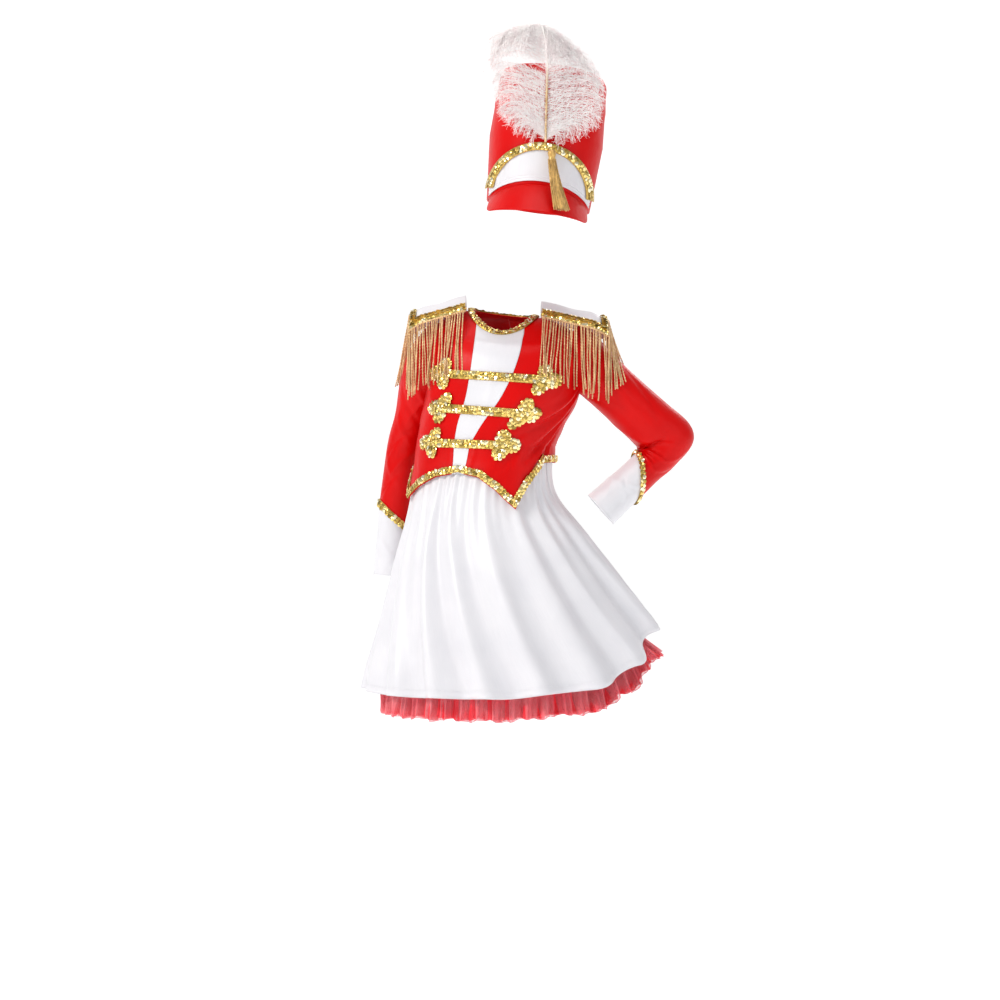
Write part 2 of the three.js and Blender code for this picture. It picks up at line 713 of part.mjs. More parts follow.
// Neck trim and the trim along the bodice's lower edge
function settle(angle, level, lift) {
  const out = normalAt(dressPoint, angle, level);
  const point = dressPoint(angle, level);
  const hit = firstHit(point.clone().addScaledVector(out, SETTLE_REACH), out.clone().negate(), bodice);
  const onPanel = hit !== null && hit.distanceTo(point) < SETTLE_REACH / 4;
  return (onPanel ? hit : point).addScaledVector(out, lift);
}

function neckTrimPoint(angle, inset, lift) {
  const step = 0.5;
  const speed = dressPoint(angle, NECK_LEVEL).distanceTo(dressPoint(angle, NECK_LEVEL - step)) / step;
  return settle(angle, NECK_LEVEL - inset / speed, lift);
}

const neckAngles = spread(-180, 180, NECK_TRIM_COLUMNS).slice(1);
addPiece('neck_trim', trimWall(neckTrimPoint, NECK_TRIM_INSETS, neckAngles, true), GOLD_SEQUIN);

function hemTrimPoint(angle, share, lift) {
  const reach = 0.5;
  const here = readTable(BODICE_HEM, 'angle', 'z', wrapAngle(angle), false);
  const after = readTable(BODICE_HEM, 'angle', 'z', wrapAngle(angle + reach), false);
  const before = readTable(BODICE_HEM, 'angle', 'z', wrapAngle(angle - reach), false);
  const run = radians(2 * reach) * FOLD_REACH;
  const slope = Math.min(Math.abs(after - here), Math.abs(here - before)) * 2 / run;
  const z = here + HEM_TRIM_MARGIN + TRIM_WIDTH * share * Math.hypot(1, slope);
  return settle(angle, levelAt(angle, z), lift);
}

const hemAngles = BODICE_PANELS.flatMap((panel) => panelAngles(panel, HEM_TRIM_LEVEL, 0).slice(1));
addPiece('bodice_hem_trim', trimWall(hemTrimPoint, TRIM_ROWS, hemAngles, true), GOLD_SEQUIN);

// Frogging: a braid across the front and a three-lobed end on each side
function frogZ(frog, angle) {
  return frog.z - frog.fall * (angle - (frog.startAngle + frog.endAngle) / 2)
    / (frog.endAngle - frog.startAngle);
}

function frogPoint(frog, angle, up, lift) {
  return settle(angle, levelAt(angle, frogZ(frog, angle) + up), lift);
}

const frogging = [];
FROGS.forEach((frog, index) => {
  const start = frog.startAngle + BRAID_INSET;
  const end = frog.endAngle - BRAID_INSET;
  const columns = Array.from({ length: BRAID_COLUMNS }, (_, i) => mix(start, end, i / (BRAID_COLUMNS - 1)));
  const rows = [-BRAID_WIDTH / 2, 0, BRAID_WIDTH / 2];
  const braid = trimWall((angle, up, lift) => frogPoint(frog, angle, up, lift), rows, columns, false);
  frogging.push(addPiece(`frog_braid_${index + 1}`, braid, GOLD_SEQUIN));
  for (const [side, middle, outward] of [['right', frog.startAngle, -1], ['left', frog.endAngle, 1]]) {
    const ring = (scale, lift) => Array.from({ length: CLOVER_POINTS }, (_, i) => {
      const turn = 2 * Math.PI * i / CLOVER_POINTS;
      const radius = CLOVER_RADIUS * scale * (1 + CLOVER_LOBE * Math.cos(CLOVER_LOBES * turn));
      const along = (radius * Math.cos(turn) + CLOVER_SHIFT) * outward;
      return frogPoint(frog, middle + degrees(along / FOLD_REACH), radius * Math.sin(turn), lift);
    });
    const pad = loftRings([
      ring(CLOVER_CORE, CLOVER_LIFT),
      ring(0.5, CLOVER_LIFT),
      ring(1, CLOVER_LIFT),
      ring(1, CLOVER_LIFT + CLOVER_HEIGHT / 2),
      ring(CLOVER_RISE, CLOVER_LIFT + CLOVER_HEIGHT),
    ]);
    frogging.push(addPiece(`frog_end_${index + 1}_${side}`, pad, GOLD_SEQUIN));
  }
});

// Skirt and petticoat
function fluteWave(angle) {
  const turn = radians(angle);
  let uneven = 0;
  for (const wave of FLUTE_DRIFT) {
    uneven += wave.size * Math.sin(wave.turns * turn + wave.phase);
  }
  const swing = Math.sin(FLUTE_SHARE.turns * turn + FLUTE_SHARE.phase);
  const share = FLUTE_SHARE.mean + FLUTE_SHARE.swing * swing;
  return share * Math.cos(FLUTE_COUNT * turn + uneven * FLUTE_COUNT / 4);
}

function gatherWave(angle) {
  return Math.cos(GATHER_COUNT * radians(angle));
}

function skirtInset(fall) {
  return SKIRT_TUCK * (1 - THREE.MathUtils.smoothstep(fall, TUCK_END / 2, TUCK_END));
}

function waveDepths(fall) {
  return {
    gather: GATHER_DEPTH * (1 - THREE.MathUtils.smoothstep(fall, GATHER_FADE.from, GATHER_FADE.to)),
    flute: FLUTE_DEPTH * THREE.MathUtils.smoothstep(fall, FLUTE_RISE.from, FLUTE_RISE.to),
  };
}

function skirtLift(angle, fall) {
  const { gather, flute } = waveDepths(fall);
  return gather * (gatherWave(angle) - 1) + flute * (fluteWave(angle) - 1) - skirtInset(fall);
}

function petticoatLift(angle, fall) {
  const { gather, flute } = waveDepths(fall);
  if (fall <= PETTICOAT_ROWS[0]) {
    return skirtLift(angle, fall) - SATIN_WALL - TULLE_SEAM_GAP;
  }
  const ruffle = RUFFLE_DEPTH * (Math.cos(RUFFLE_COUNT * radians(angle)) - 1);
  return -2 * (gather + flute) - skirtInset(fall) - SATIN_WALL - PETTICOAT_GAP + ruffle;
}

function skirtGrid(angles, falls, liftAt, wall) {
  return falls.map((fall) => angles.map((angle) => {
    const surface = (a, f) => lifted(dressPoint, a, -f, liftAt(a, f));
    const level = Math.min(Math.max(fall, 2 * STEP), 1 - 2 * STEP);
    const out = normalAt(surface, angle, level);
    const facesOut = out.dot(normalAt(dressPoint, angle, -level)) > 0;
    return surface(angle, level).addScaledVector(out, facesOut ? wall : -wall);
  }));
}

function petticoatGrid(angles, wall) {
  const covered = skirtGrid(angles, PETTICOAT_ROWS, petticoatLift, wall);
  const edge = covered[covered.length - 1].map((point, i) => {
    const angle = angles[i];
    const flare = readTable(PETTICOAT_SHOW, 'angle', 'flare', wrapAngle(angle), true);
    const drop = readTable(PETTICOAT_SHOW, 'angle', 'drop', wrapAngle(angle), true);
    const out = normalAt(dressPoint, angle, PETTICOAT_FLARE_LEVEL).setZ(0).normalize();
    return point.clone().addScaledVector(out, flare).add(new THREE.Vector3(0, 0, -drop));
  });
  return [...covered, edge];
}

for (const [half, start] of [['front', -90], ['back', 90]]) {
  const inset = degrees(SEAM_GAP / 2 / SKIRT_SECTIONS[0].depth);
  const angles = Array.from({ length: SKIRT_COLUMNS / 2 + 1 }, (_, i) => (
    mix(start + inset, start + 180 - inset, i / (SKIRT_COLUMNS / 2))));
  const skirtSide = (wall) => skirtGrid(angles, SKIRT_ROWS, skirtLift, wall);
  const skirt = closedWall(skirtSide(0), skirtSide(-SATIN_WALL), false);
  addPiece(`skirt_${half}`, skirt, WHITE_SATIN);
  const petticoat = closedWall(petticoatGrid(angles, 0), petticoatGrid(angles, -TULLE_WALL), false);
  addPiece(`petticoat_${half}`, petticoat, RED_TULLE);
}

// Shoulder boards rest on the bodice and the sleeve heads
const DOWN = new THREE.Vector3(0, 0, -1);
const HIGH = 200;

function boardPoint(board, along, across) {
  const halfDepth = mix(BOARD_HALF_DEPTH.neck, BOARD_HALF_DEPTH.end, along);
  const corner = 1 - BOARD_CORNER.cut * Math.max(0, along - BOARD_CORNER.start) / (1 - BOARD_CORNER.start);
  const x = mix(board.neck.x, board.end.x, along);
  const y = mix(board.neck.y, board.end.y, along) + halfDepth * across * corner;
  const tip = BOARD_TIP_DROP * THREE.MathUtils.smoothstep(along, BOARD_TIP_BEND.from, BOARD_TIP_BEND.to);
  const z = mix(board.ridge.neck, board.ridge.end, along) - BOARD_DOME * across * across - tip;
  return new THREE.Vector3(x, y, z);
}

function boardGrid(board, meshes) {
  const grid = [];
  let lowest = Infinity;
  for (let r = 0; r <= BOARD_ROWS; r += 1) {
    grid.push(Array.from({ length: BOARD_COLUMNS + 1 }, (_, c) => {
      const across = 2 * c / BOARD_COLUMNS - 1;
      const point = boardPoint(board, r / BOARD_ROWS, across);
      const atEdge = Math.abs(across) === 1;
      const under = atEdge ? STRIP_HEIGHT : SATIN_WALL;
      for (const margin of atEdge ? [0, STRIP_DEPTH + 1] : [0]) {
        const hit = firstHit(new THREE.Vector3(point.x, point.y + across * margin, HIGH), DOWN, meshes);
        lowest = hit === null ? lowest : Math.min(lowest, point.z - under - hit.z);
      }
      return point;
    }));
  }
  const sink = lowest - BOARD_CLEARANCE;
  grid.flat().forEach((point) => {
    point.z -= sink;
  });
  return grid;
}

function shiftGrid(grid, height) {
  return grid.map((row) => row.map((point) => point.clone().add(new THREE.Vector3(0, 0, height))));
}

// The board's free edge, from the front of its neck end round its tip to the back
function boardEdge(grid) {
  const last = grid.length - 1;
  const end = grid[0].length - 1;
  const front = grid.map((row) => row[0]);
  const tip = grid[last].slice(1, end);
  const back = grid.map((row) => row[end]).reverse();
  return [...front, ...tip, ...back];
}

function edgeFrames(edge, side) {
  let length = 0;
  return edge.map((point, i) => {
    const before = edge[Math.max(i - 1, 0)];
    const after = edge[Math.min(i + 1, edge.length - 1)];
    length += point.distanceTo(before);
    const steps = [point.clone().sub(before), after.clone().sub(point)];
    const outs = steps.map((step) => new THREE.Vector3(-step.y * side, step.x * side, 0).normalize());
    if (i === 0 || i === edge.length - 1) {
      return { point, out: new THREE.Vector3(0, i === 0 ? -1 : 1, 0), length };
    }
    const out = outs[0].clone().add(outs[1]).normalize();
    return { point, out: out.divideScalar(out.dot(outs[0])), length };
  });
}

function frameAt(frames, length) {
  let index = 0;
  while (index < frames.length - 2 && frames[index + 1].length < length) {
    index += 1;
  }
  const share = (length - frames[index].length) / (frames[index + 1].length - frames[index].length);
  const point = frames[index].point.clone().lerp(frames[index + 1].point, share);
  const out = frames[index].out.clone().lerp(frames[index + 1].out, share);
  return { point, out };
}

// Strands hang straight down and lie just outside what is behind them
function hangStrand(root, out, length, nodes, meshes, down) {
  const side = new THREE.Vector3().crossVectors(out, down).normalize();
  const reachAt = Array.from({ length: HANG_STEPS + 1 }, (_, k) => {
    const place = root.clone().addScaledVector(down, length * k / HANG_STEPS);
    const needs = [-1, 0, 1].map((offset) => {
      const far = place.clone().addScaledVector(out, HIGH).addScaledVector(side, offset * STRAND_RADIUS * 2);
      const hit = firstHit(far, out.clone().negate(), meshes);
      return hit === null ? -HIGH : hit.sub(place).dot(out) + STRAND_CLEARANCE;
    });
    return Math.max(...needs);
  });
  let most = 0;
  const needs = reachAt.map((need, k) => {
    most = k === 0 ? 0 : Math.max(most, need);
    return most;
  });
  const taut = (node) => {
    let reach = needs[node];
    for (let i = 0; i < node; i += 1) {
      for (let j = node + 1; j <= HANG_STEPS; j += 1) {
        reach = Math.max(reach, mix(needs[i], needs[j], (node - i) / (j - i)));
      }
    }
    return reach;
  };
  const knots = [0, ...nodes];
  const reaches = knots.map((node) => (node === 0 ? 0 : taut(node)));
  needs.slice(1, nodes[0]).forEach((need, k) => {
    reaches[1] = Math.max(reaches[1], need * nodes[0] / (k + 1));
  });
  const places = [root.clone()];
  let left = length;
  for (let i = 1; i < knots.length && left > 0; i += 1) {
    const place = root.clone().addScaledVector(down, length * knots[i] / HANG_STEPS);
    place.addScaledVector(out, reaches[i] + (i > 1 ? STRAND_SPARE : 0));
    const last = places[places.length - 1];
    const step = place.distanceTo(last);
    places.push(step > left ? last.clone().lerp(place, left / step) : place);
    left -= step;
  }
  return loftRings(places.map((place, i) => {
    const radius = i === places.length - 1 ? STRAND_TIP_RADIUS : STRAND_RADIUS;
    return STRAND_CORNERS.map((turn) => place.clone()
      .addScaledVector(out, Math.sin(radians(turn)) * radius)
      .addScaledVector(side, Math.cos(radians(turn)) * radius));
  }));
}

// Strands at the tip of a board slide off the sleeve head, half to its front and half to its back
function fallWay(board, root, out) {
  const share = THREE.MathUtils.smoothstep(Math.abs(out.x), TIP_FALL.from, TIP_FALL.to);
  const aside = Math.sign(root.y - board.end.y) * TIP_FALL.aside * share;
  return new THREE.Vector3(out.x * mix(1, TIP_FALL.outward, share), out.y + aside, 0).normalize();
}

function makeBoard(side, board, meshes) {
  const grid = boardGrid(board, meshes);
  const wall = closedWall(grid, shiftGrid(grid, -SATIN_WALL), false);
  const boardMesh = addPiece(`epaulette_${side}`, wall, WHITE_SATIN);
  const edge = boardEdge(grid);
  const frames = edgeFrames(edge, board.side);
  const trimRow = (inset, height) => frames.map(({ point, out }) => {
    const place = point.clone().addScaledVector(out, -inset);
    const inward = Math.sign(board.end.x - board.neck.x);
    place.x = inward * Math.max(inward * place.x, inward * board.neck.x + 1);
    const hit = firstHit(new THREE.Vector3(place.x, place.y, HIGH), DOWN, [boardMesh]);
    return place.setZ((hit ?? place).z + height);
  });
  const outer = BOARD_TRIM_ROWS.map(({ inset, height }) => trimRow(inset, BOARD_TRIM_LIFT + height));
  const inner = BOARD_TRIM_ROWS.map(({ inset }) => trimRow(inset, BOARD_TRIM_LIFT));
  addPiece(`epaulette_trim_${side}`, closedWall(outer, inner, false), GOLD_SEQUIN);
  const length = frames[frames.length - 1].length;
  const stripRow = (offset, height) => frames.map(({ point, out }) => (
    point.clone().addScaledVector(out, offset).add(new THREE.Vector3(0, 0, height))));
  const near = SEAM_GAP;
  const far = SEAM_GAP + STRIP_DEPTH;
  let fringe = toSolid(closedWall(
    [stripRow(far, STRIP_TOP), stripRow(far, STRIP_TOP - STRIP_HEIGHT)],
    [stripRow(near, STRIP_TOP), stripRow(near, STRIP_TOP - STRIP_HEIGHT)], false));
  const count = Math.floor(length / FRINGE_STEP);
  for (let i = 1; i < count; i += 1) {
    const t = i / count;
    const { point, out } = frameAt(frames, t * length);
    const root = point.clone().addScaledVector(out, (near + far) / 2);
    root.addScaledVector(DOWN, STRAND_ROOT_DEPTH);
    const fall = t < 0.5 ? mix(FRINGE_LENGTH.neck, FRINGE_LENGTH.end, t * 2)
      : mix(FRINGE_LENGTH.end, FRINGE_LENGTH.back, t * 2 - 1);
    const uneven = 1 + LENGTH_SWING.size * Math.sin(i * LENGTH_SWING.turns);
    const strand = hangStrand(root, fallWay(board, root, out), fall * uneven, STRAND_NODES, meshes, DOWN);
    fringe = fringe.add(toSolid(strand));
  }
  addPiece(`fringe_${side}`, toGeometry(fringe), GOLD_FRINGE);
}

const worn = [...bodice, ...sleeves, ...frogging];
makeBoard('right', RIGHT_BOARD, worn);
makeBoard('left', LEFT_BOARD, worn);

// Hat: azimuth in degrees from the front towards the wearer's left, height above the base
function hatRing(height, grow = 0) {
  let index = 0;
  while (index < HAT_SECTIONS.length - 2 && height > HAT_SECTIONS[index + 1].z) {
    index += 1;
  }
  const low = HAT_SECTIONS[index];
  const high = HAT_SECTIONS[index + 1];
  const t = (height - low.z) / (high.z - low.z);
  return { width: mix(low.width, high.width, t) + grow, depth: mix(low.depth, high.depth, t) + grow };
}

function hatPoint(azimuth, height, lift) {
  const { width, depth } = hatRing(height, lift);
  const turn = radians(azimuth);
  return new THREE.Vector3(width * Math.sin(turn), -depth * Math.cos(turn), height);
}

const hatAzimuths = Array.from({ length: HAT_COLUMNS }, (_, i) => 360 * i / HAT_COLUMNS);
const crownRow = (height, lift) => hatAzimuths.map((azimuth) => hatPoint(azimuth, height, lift));
const crownGrid = (lift) => HAT_SECTIONS.map(({ z }) => crownRow(z, lift));
const crown = addPiece('hat_crown', closedWall(crownGrid(0), crownGrid(-HAT_WALL), true), RED_SATIN, hat);

function topRing(row, sink) {
  const { width, depth } = hatRing(HAT_SECTIONS[HAT_SECTIONS.length - 1].z);
  return hatAzimuths.map((azimuth) => new THREE.Vector3(
    width * row.scale * Math.sin(radians(azimuth)),
    -depth * row.scale * Math.cos(radians(azimuth)),
    row.z - sink,
  ));
}

const topOuter = HAT_TOP.map((row) => topRing(row, 0));
const topInner = [topRing(HAT_TOP[HAT_TOP.length - 1], HAT_WALL)];
const lid = [topRing({ z: HAT_TOP[0].z, scale: 1 - HAT_WALL / HAT_SECTIONS[0].width }, 0)];
addPiece('hat_top', loftRings([...topInner, ...lid, ...topOuter]), RED_SATIN, hat);

// Visor, white front band and its sequin arch
function visorSeamHeight(azimuth) {
  return VISOR_SEAM.end + VISOR_SEAM.rise * Math.cos(radians(azimuth * 90 / VISOR_SPAN));
}

function archHeight(azimuth) {
  return BAND_ARCH.end + BAND_ARCH.rise * Math.cos(radians(azimuth));
}

const bandAzimuths = spread(-VISOR_SPAN, VISOR_SPAN, BAND_COLUMNS);
const bandRow = (share, lift) => bandAzimuths.map((azimuth) => {
  const low = visorSeamHeight(azimuth) + BAND_MARGIN.low;
  const high = archHeight(azimuth) - BAND_MARGIN.high;
  return hatPoint(azimuth, mix(low, high, share), lift);
});
const band = addPiece('hat_band', closedWall(
  [0, 1].map((share) => bandRow(share, SEAM_GAP + SATIN_WALL)),
  [0, 1].map((share) => bandRow(share, SEAM_GAP)), false), WHITE_SATIN, hat);

const braidAzimuths = spread(-BAND_SPAN, BAND_SPAN, HAT_BRAID_COLUMNS);
const braidBase = HAT_BRAID_STAND + SATIN_WALL;
const hatBraidPoint = (azimuth, up, lift) => {
  const tangent = radians(azimuth);
  const x = Math.sin(tangent) * (1 - up / HAT_SECTIONS[0].width);
  const z = archHeight(azimuth) - up * Math.cos(tangent);
  return hatPoint(degrees(Math.asin(THREE.MathUtils.clamp(x, -1, 1))), z, braidBase + lift);
};
const braidGrid = (lifts) => [0, HAT_BRAID_WIDTH / 2, HAT_BRAID_WIDTH].map((up, i) => (
  braidAzimuths.map((azimuth) => hatBraidPoint(azimuth, up, lifts[i]))));
addPiece('hat_braid', closedWall(
  braidGrid([TRIM_HEIGHT / 2, TRIM_HEIGHT, TRIM_HEIGHT / 2]), braidGrid([0, 0, 0]), false), GOLD_SEQUIN, hat);

const visorAzimuths = spread(-VISOR_SPAN, VISOR_SPAN, BAND_COLUMNS);
const visorRow = (share, sink) => visorAzimuths.map((azimuth) => {
  const middle = Math.cos(radians(azimuth * 90 / VISOR_SPAN));
  const start = hatPoint(azimuth, visorSeamHeight(azimuth) - VISOR_TUCK, SEAM_GAP);
  const out = (VISOR_REACH * Math.sqrt(Math.max(middle, 0)) + VISOR_LIP) * share;
  const fall = mix(VISOR_DROP.end, VISOR_DROP.middle + VISOR_SEAM.rise / 2, middle);
  const turn = radians(azimuth);
  const slant = sink * VISOR_WALL_SLANT;
  return start.add(new THREE.Vector3(
    Math.sin(turn) * (out * VISOR_SIDE_REACH + slant),
    -Math.cos(turn) * (out + slant),
    sink - fall * share ** VISOR_DROP_POWER,
  ));
});
const visor = addPiece('hat_visor', closedWall(
  [0, 0.5, 1].map((share) => visorRow(share, HAT_WALL)),
  [0, 0.5, 1].map((share) => visorRow(share, 0)), false), RED_SATIN, hat);

// Tassel: a bound head with strands that swing to the left over the band and the visor
const leaningDown = (lean) => DOWN.clone().applyAxisAngle(new THREE.Vector3(0, 1, 0), -radians(lean));
const hatDown = leaningDown(HAT_PLACE.roll);
const strandDown = leaningDown(HAT_PLACE.roll + TASSEL_LEAN);
const forward = new THREE.Vector3(0, -1, 0);
const tasselSide = new THREE.Vector3().crossVectors(forward, hatDown).normalize();
const tasselFront = -hatRing(TASSEL_HEAD.z).depth - TASSEL_HEAD.radius - TASSEL_STAND;
const tasselTop = new THREE.Vector3(TASSEL_HEAD.x, tasselFront, TASSEL_HEAD.z);

function aroundTassel(fall, radius, turn) {
  return tasselTop.clone()
    .addScaledVector(hatDown, fall)
    .addScaledVector(forward, Math.cos(turn) * radius)
    .addScaledVector(tasselSide, Math.sin(turn) * radius);
}

const headTurns = Array.from({ length: TASSEL_SIDES }, (_, i) => 2 * Math.PI * i / TASSEL_SIDES);
const headRing = ({ fall, radius }) => headTurns.map((turn) => aroundTassel(fall, radius, turn));
let tassel = toSolid(loftRings(TASSEL_PROFILE.map(headRing)));
for (let i = 0; i < TASSEL_STRANDS; i += 1) {
  const radius = TASSEL_HEAD.radius * TASSEL_SPREAD * Math.sqrt((i + 0.5) / TASSEL_STRANDS);
  const root = aroundTassel(TASSEL_HEAD.length - TASSEL_ROOT_DEPTH, radius, i * GOLDEN_TURN);
  const length = TASSEL_LENGTH * (1 - TASSEL_SWING.size * Math.sin(i * TASSEL_SWING.turns));
  const strand = hangStrand(root, forward, length, TASSEL_NODES, [visor, band, crown], strandDown);
  tassel = tassel.add(toSolid(strand));
}
addPiece('hat_tassel', toGeometry(tassel), GOLD_FRINGE, hat);

// Plume: a thin lens of barbs behind its quill, bowed forward at the top
const PLUME_LAST = PLUME_SECTIONS.length - 1;

function plumeMiddle(place) {
  const row = blendRows(PLUME_SECTIONS, place);
  const height = PLUME_FOOT.z + row.rise;
  const y = -hatRing(Math.min(height, HAT_SECTIONS[HAT_SECTIONS.length - 1].z)).depth - PLUME_STAND - row.bow;
  return { row, point: new THREE.Vector3(PLUME_FOOT.x - row.curl, y, height) };
}

function plumeRing(place) {
  const { row, point } = plumeMiddle(place);
  return PLUME_OUTLINE.map(({ across, thick }) => {
    const width = across < 0 ? row.right : row.left;
    const wrap = PLUME_WRAP * (across * width) ** 2;
    return point.clone().add(new THREE.Vector3(
      across * width, wrap + PLUME_THICKNESS / 2 * (1 - thick) + QUILL_RADIUS + QUILL_GAP, 0));
  });
}

addPiece('plume_vane', loftRings(spread(0, PLUME_LAST, PLUME_LAST).map(plumeRing)), FEATHER, hat);
const quillRing = (place) => {
  const { point } = plumeMiddle(place);
  const radius = QUILL_RADIUS * mix(1, QUILL_TIP, place / PLUME_LAST);
  return Array.from({ length: QUILL_SIDES }, (_, i) => {
    const turn = 2 * Math.PI * i / QUILL_SIDES;
    return point.clone().add(new THREE.Vector3(Math.cos(turn) * radius, Math.sin(turn) * radius, 0));
  });
};
addPiece('plume_quill', loftRings(spread(0, PLUME_LAST, PLUME_LAST + 2).map(quillRing)), QUILL, hat);

hat.position.set(HAT_PLACE.x, HAT_PLACE.y, HAT_PLACE.z);
hat.rotation.y = radians(HAT_PLACE.roll);
costume.add(hat);

export default costume;
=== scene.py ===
import math
from functools import partial

import bpy
import numpy as np
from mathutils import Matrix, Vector
from mathutils.bvhtree import BVHTree


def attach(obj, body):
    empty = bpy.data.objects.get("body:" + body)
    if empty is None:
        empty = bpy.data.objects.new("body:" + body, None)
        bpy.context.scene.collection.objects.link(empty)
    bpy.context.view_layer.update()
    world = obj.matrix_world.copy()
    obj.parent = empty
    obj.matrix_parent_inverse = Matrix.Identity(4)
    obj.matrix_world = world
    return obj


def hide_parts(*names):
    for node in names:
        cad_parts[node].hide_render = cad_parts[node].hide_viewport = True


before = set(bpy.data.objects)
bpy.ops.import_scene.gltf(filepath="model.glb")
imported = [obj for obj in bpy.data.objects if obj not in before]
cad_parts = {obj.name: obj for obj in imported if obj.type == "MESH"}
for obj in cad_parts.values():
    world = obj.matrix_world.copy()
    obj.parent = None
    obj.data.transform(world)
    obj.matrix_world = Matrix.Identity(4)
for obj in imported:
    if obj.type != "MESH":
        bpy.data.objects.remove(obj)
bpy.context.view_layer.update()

bl_info = {
    "name": "Majorette costume",
    "version": (1, 0, 0),
    "blender": (4, 5, 0),
    "location": "3D Viewport > Sidebar > Costume",
    "description": "Builds a worn majorette costume: frogged bodice, gathered skirt, fringe and plumed hat",
    "category": "Add Mesh",
}

# The shape functions work in millimetres, as the cut is drafted; meshes are made in metres
MM = 0.001
BODY = "root"

# Bodice rings, waist to neck: z, centre x and y, half width and depth, yaw, tilt, front's drop, half wedge
WIDTH_COLUMN = 3
WEDGE_COLUMN = 8
TORSO = np.array([
    (-200, -27, 0, 109, 86, 25, 0, 0, 13),
    (-168, -18, 0, 112, 89, 22, 0.5, 0, 20),
    (-132, -4, 0, 117, 93, 18, 1.5, 0, 27),
    (-96, 2, 0, 120, 93, 14, 2.5, 2, 32),
    (-62, 4, 0, 122, 87, 11, 3, 6, 35),
    (-34, 4, 0, 119, 76, 9.5, 3.5, 14, 36),
    (-14, 3, 0, 104, 64, 9, 4, 24, 36),
    (1, 2, 0, 75, 54, 8, 5, 32, 36),
    (8, 1, 0, 46, 43, 8, 7, 33, 35),
], dtype=float)
TORSO_SQUARENESS = 0.05
NECK_LEVEL = len(TORSO) - 1
WAIST_Z = TORSO[0][0]

# Skirt rings from the waist down to the hem, at equal steps: centre x and y, half width and depth, yaw
SKIRT = np.array([
    (-27, 0, 109, 86, 25),
    (-33, 0, 121, 104, 24),
    (-20, 2, 158, 140, 20),
    (-5, 4, 199, 172, 14),
    (10, 6, 237, 196, 8),
], dtype=float)

# Angle from the centre front towards the wearer's left, and height there
SKIRT_HEM = np.array([
    (-180, -538), (-135, -566), (-90, -575), (-45, -577), (0, -576), (40, -563),
    (66, -530), (86, -482), (108, -472), (140, -490), (180, -538),
], dtype=float)
BODICE_HEM = np.array([
    (-180, -226), (-100, -228), (-76, -238), (-56, -281), (-38, -262), (-20, -247), (0, -241),
    (17, -248), (31, -267), (46, -296), (58, -262), (76, -226), (100, -224), (180, -226),
], dtype=float)
SIDE_SEAM = 94
WEDGE_TIP = 0.75

# Waves of the skirt. Each slow wave is (count round the body, height, phase); falls go from 0 to 1.
FLUTES = 16
FLUTE_DRIFT = ((2, 0.16, 1.0), (5, 0.07, 0.0))
FLUTE_LEVEL = 0.82
FLUTE_CHANGE = ((3, 0.18, 2.0),)
FLUTE_RISE = (0.04, 1.3)
FLUTE_SWELL = 1.3
GATHER_DRIFT = ((3, 1.3, 0.4), (7, 0.9, 2.1), (11, 0.5, 0.0))
GATHER_LEVEL = 0.7
GATHER_CHANGE = ((5, 0.3, 1.7),)
GATHER_END = (0.1, 0.5)
GATHER_SLANT = 6
FOLDS = {
    "count": 23, "height": 3.4, "turn": 17, "slant": 5, "middle": 0.6,
    "start": (0.05, 0.4), "ease": (0.55, 1),
}
RIPPLES = {"count": 37, "height": 0.7, "turn": 40, "start": (0.3, 0.8)}
TUCK = 2.6
TUCK_END = 0.42
GATHER_FADE = (0.14, 0.42)
RUFFLE_GATHER = 1.6
RUFFLE_FLUTE = 13
RUFFLE_SINK = 6.5
RUFFLE_LAYER_GAP = 3.5
RUFFLE_START = (0.6, 1)
RUFFLE_MIDDLE = 4
RUFFLE_WAVES = ((46, 3.2), (97, 1.6))
RUFFLE_DRIFT = ((2, 1.1), (5, 0.8))

# Petticoat: angle, drop below the skirt, and how far it stands out there
PETTICOAT_SHOW = np.array([
    (-180, 26, 6), (-90, 30, 2), (0, 32, 4), (60, 32, 18), (95, 30, 36), (140, 26, 20), (180, 26, 6),
], dtype=float)
PETTICOAT_TOP = 0.44

# Tension folds: from and to (angle, z), half width and height
BODICE_FOLDS = (
    (84, -112, 50, -168, 9, 2.4),
    (92, -140, 54, -196, 8, 2.2),
    (-86, -120, -52, -178, 8, 1.8),
    (130, -108, 160, -176, 10, 2),
    (-128, -104, -156, -170, 9, 1.8),
)
FOLD_REACH = 110

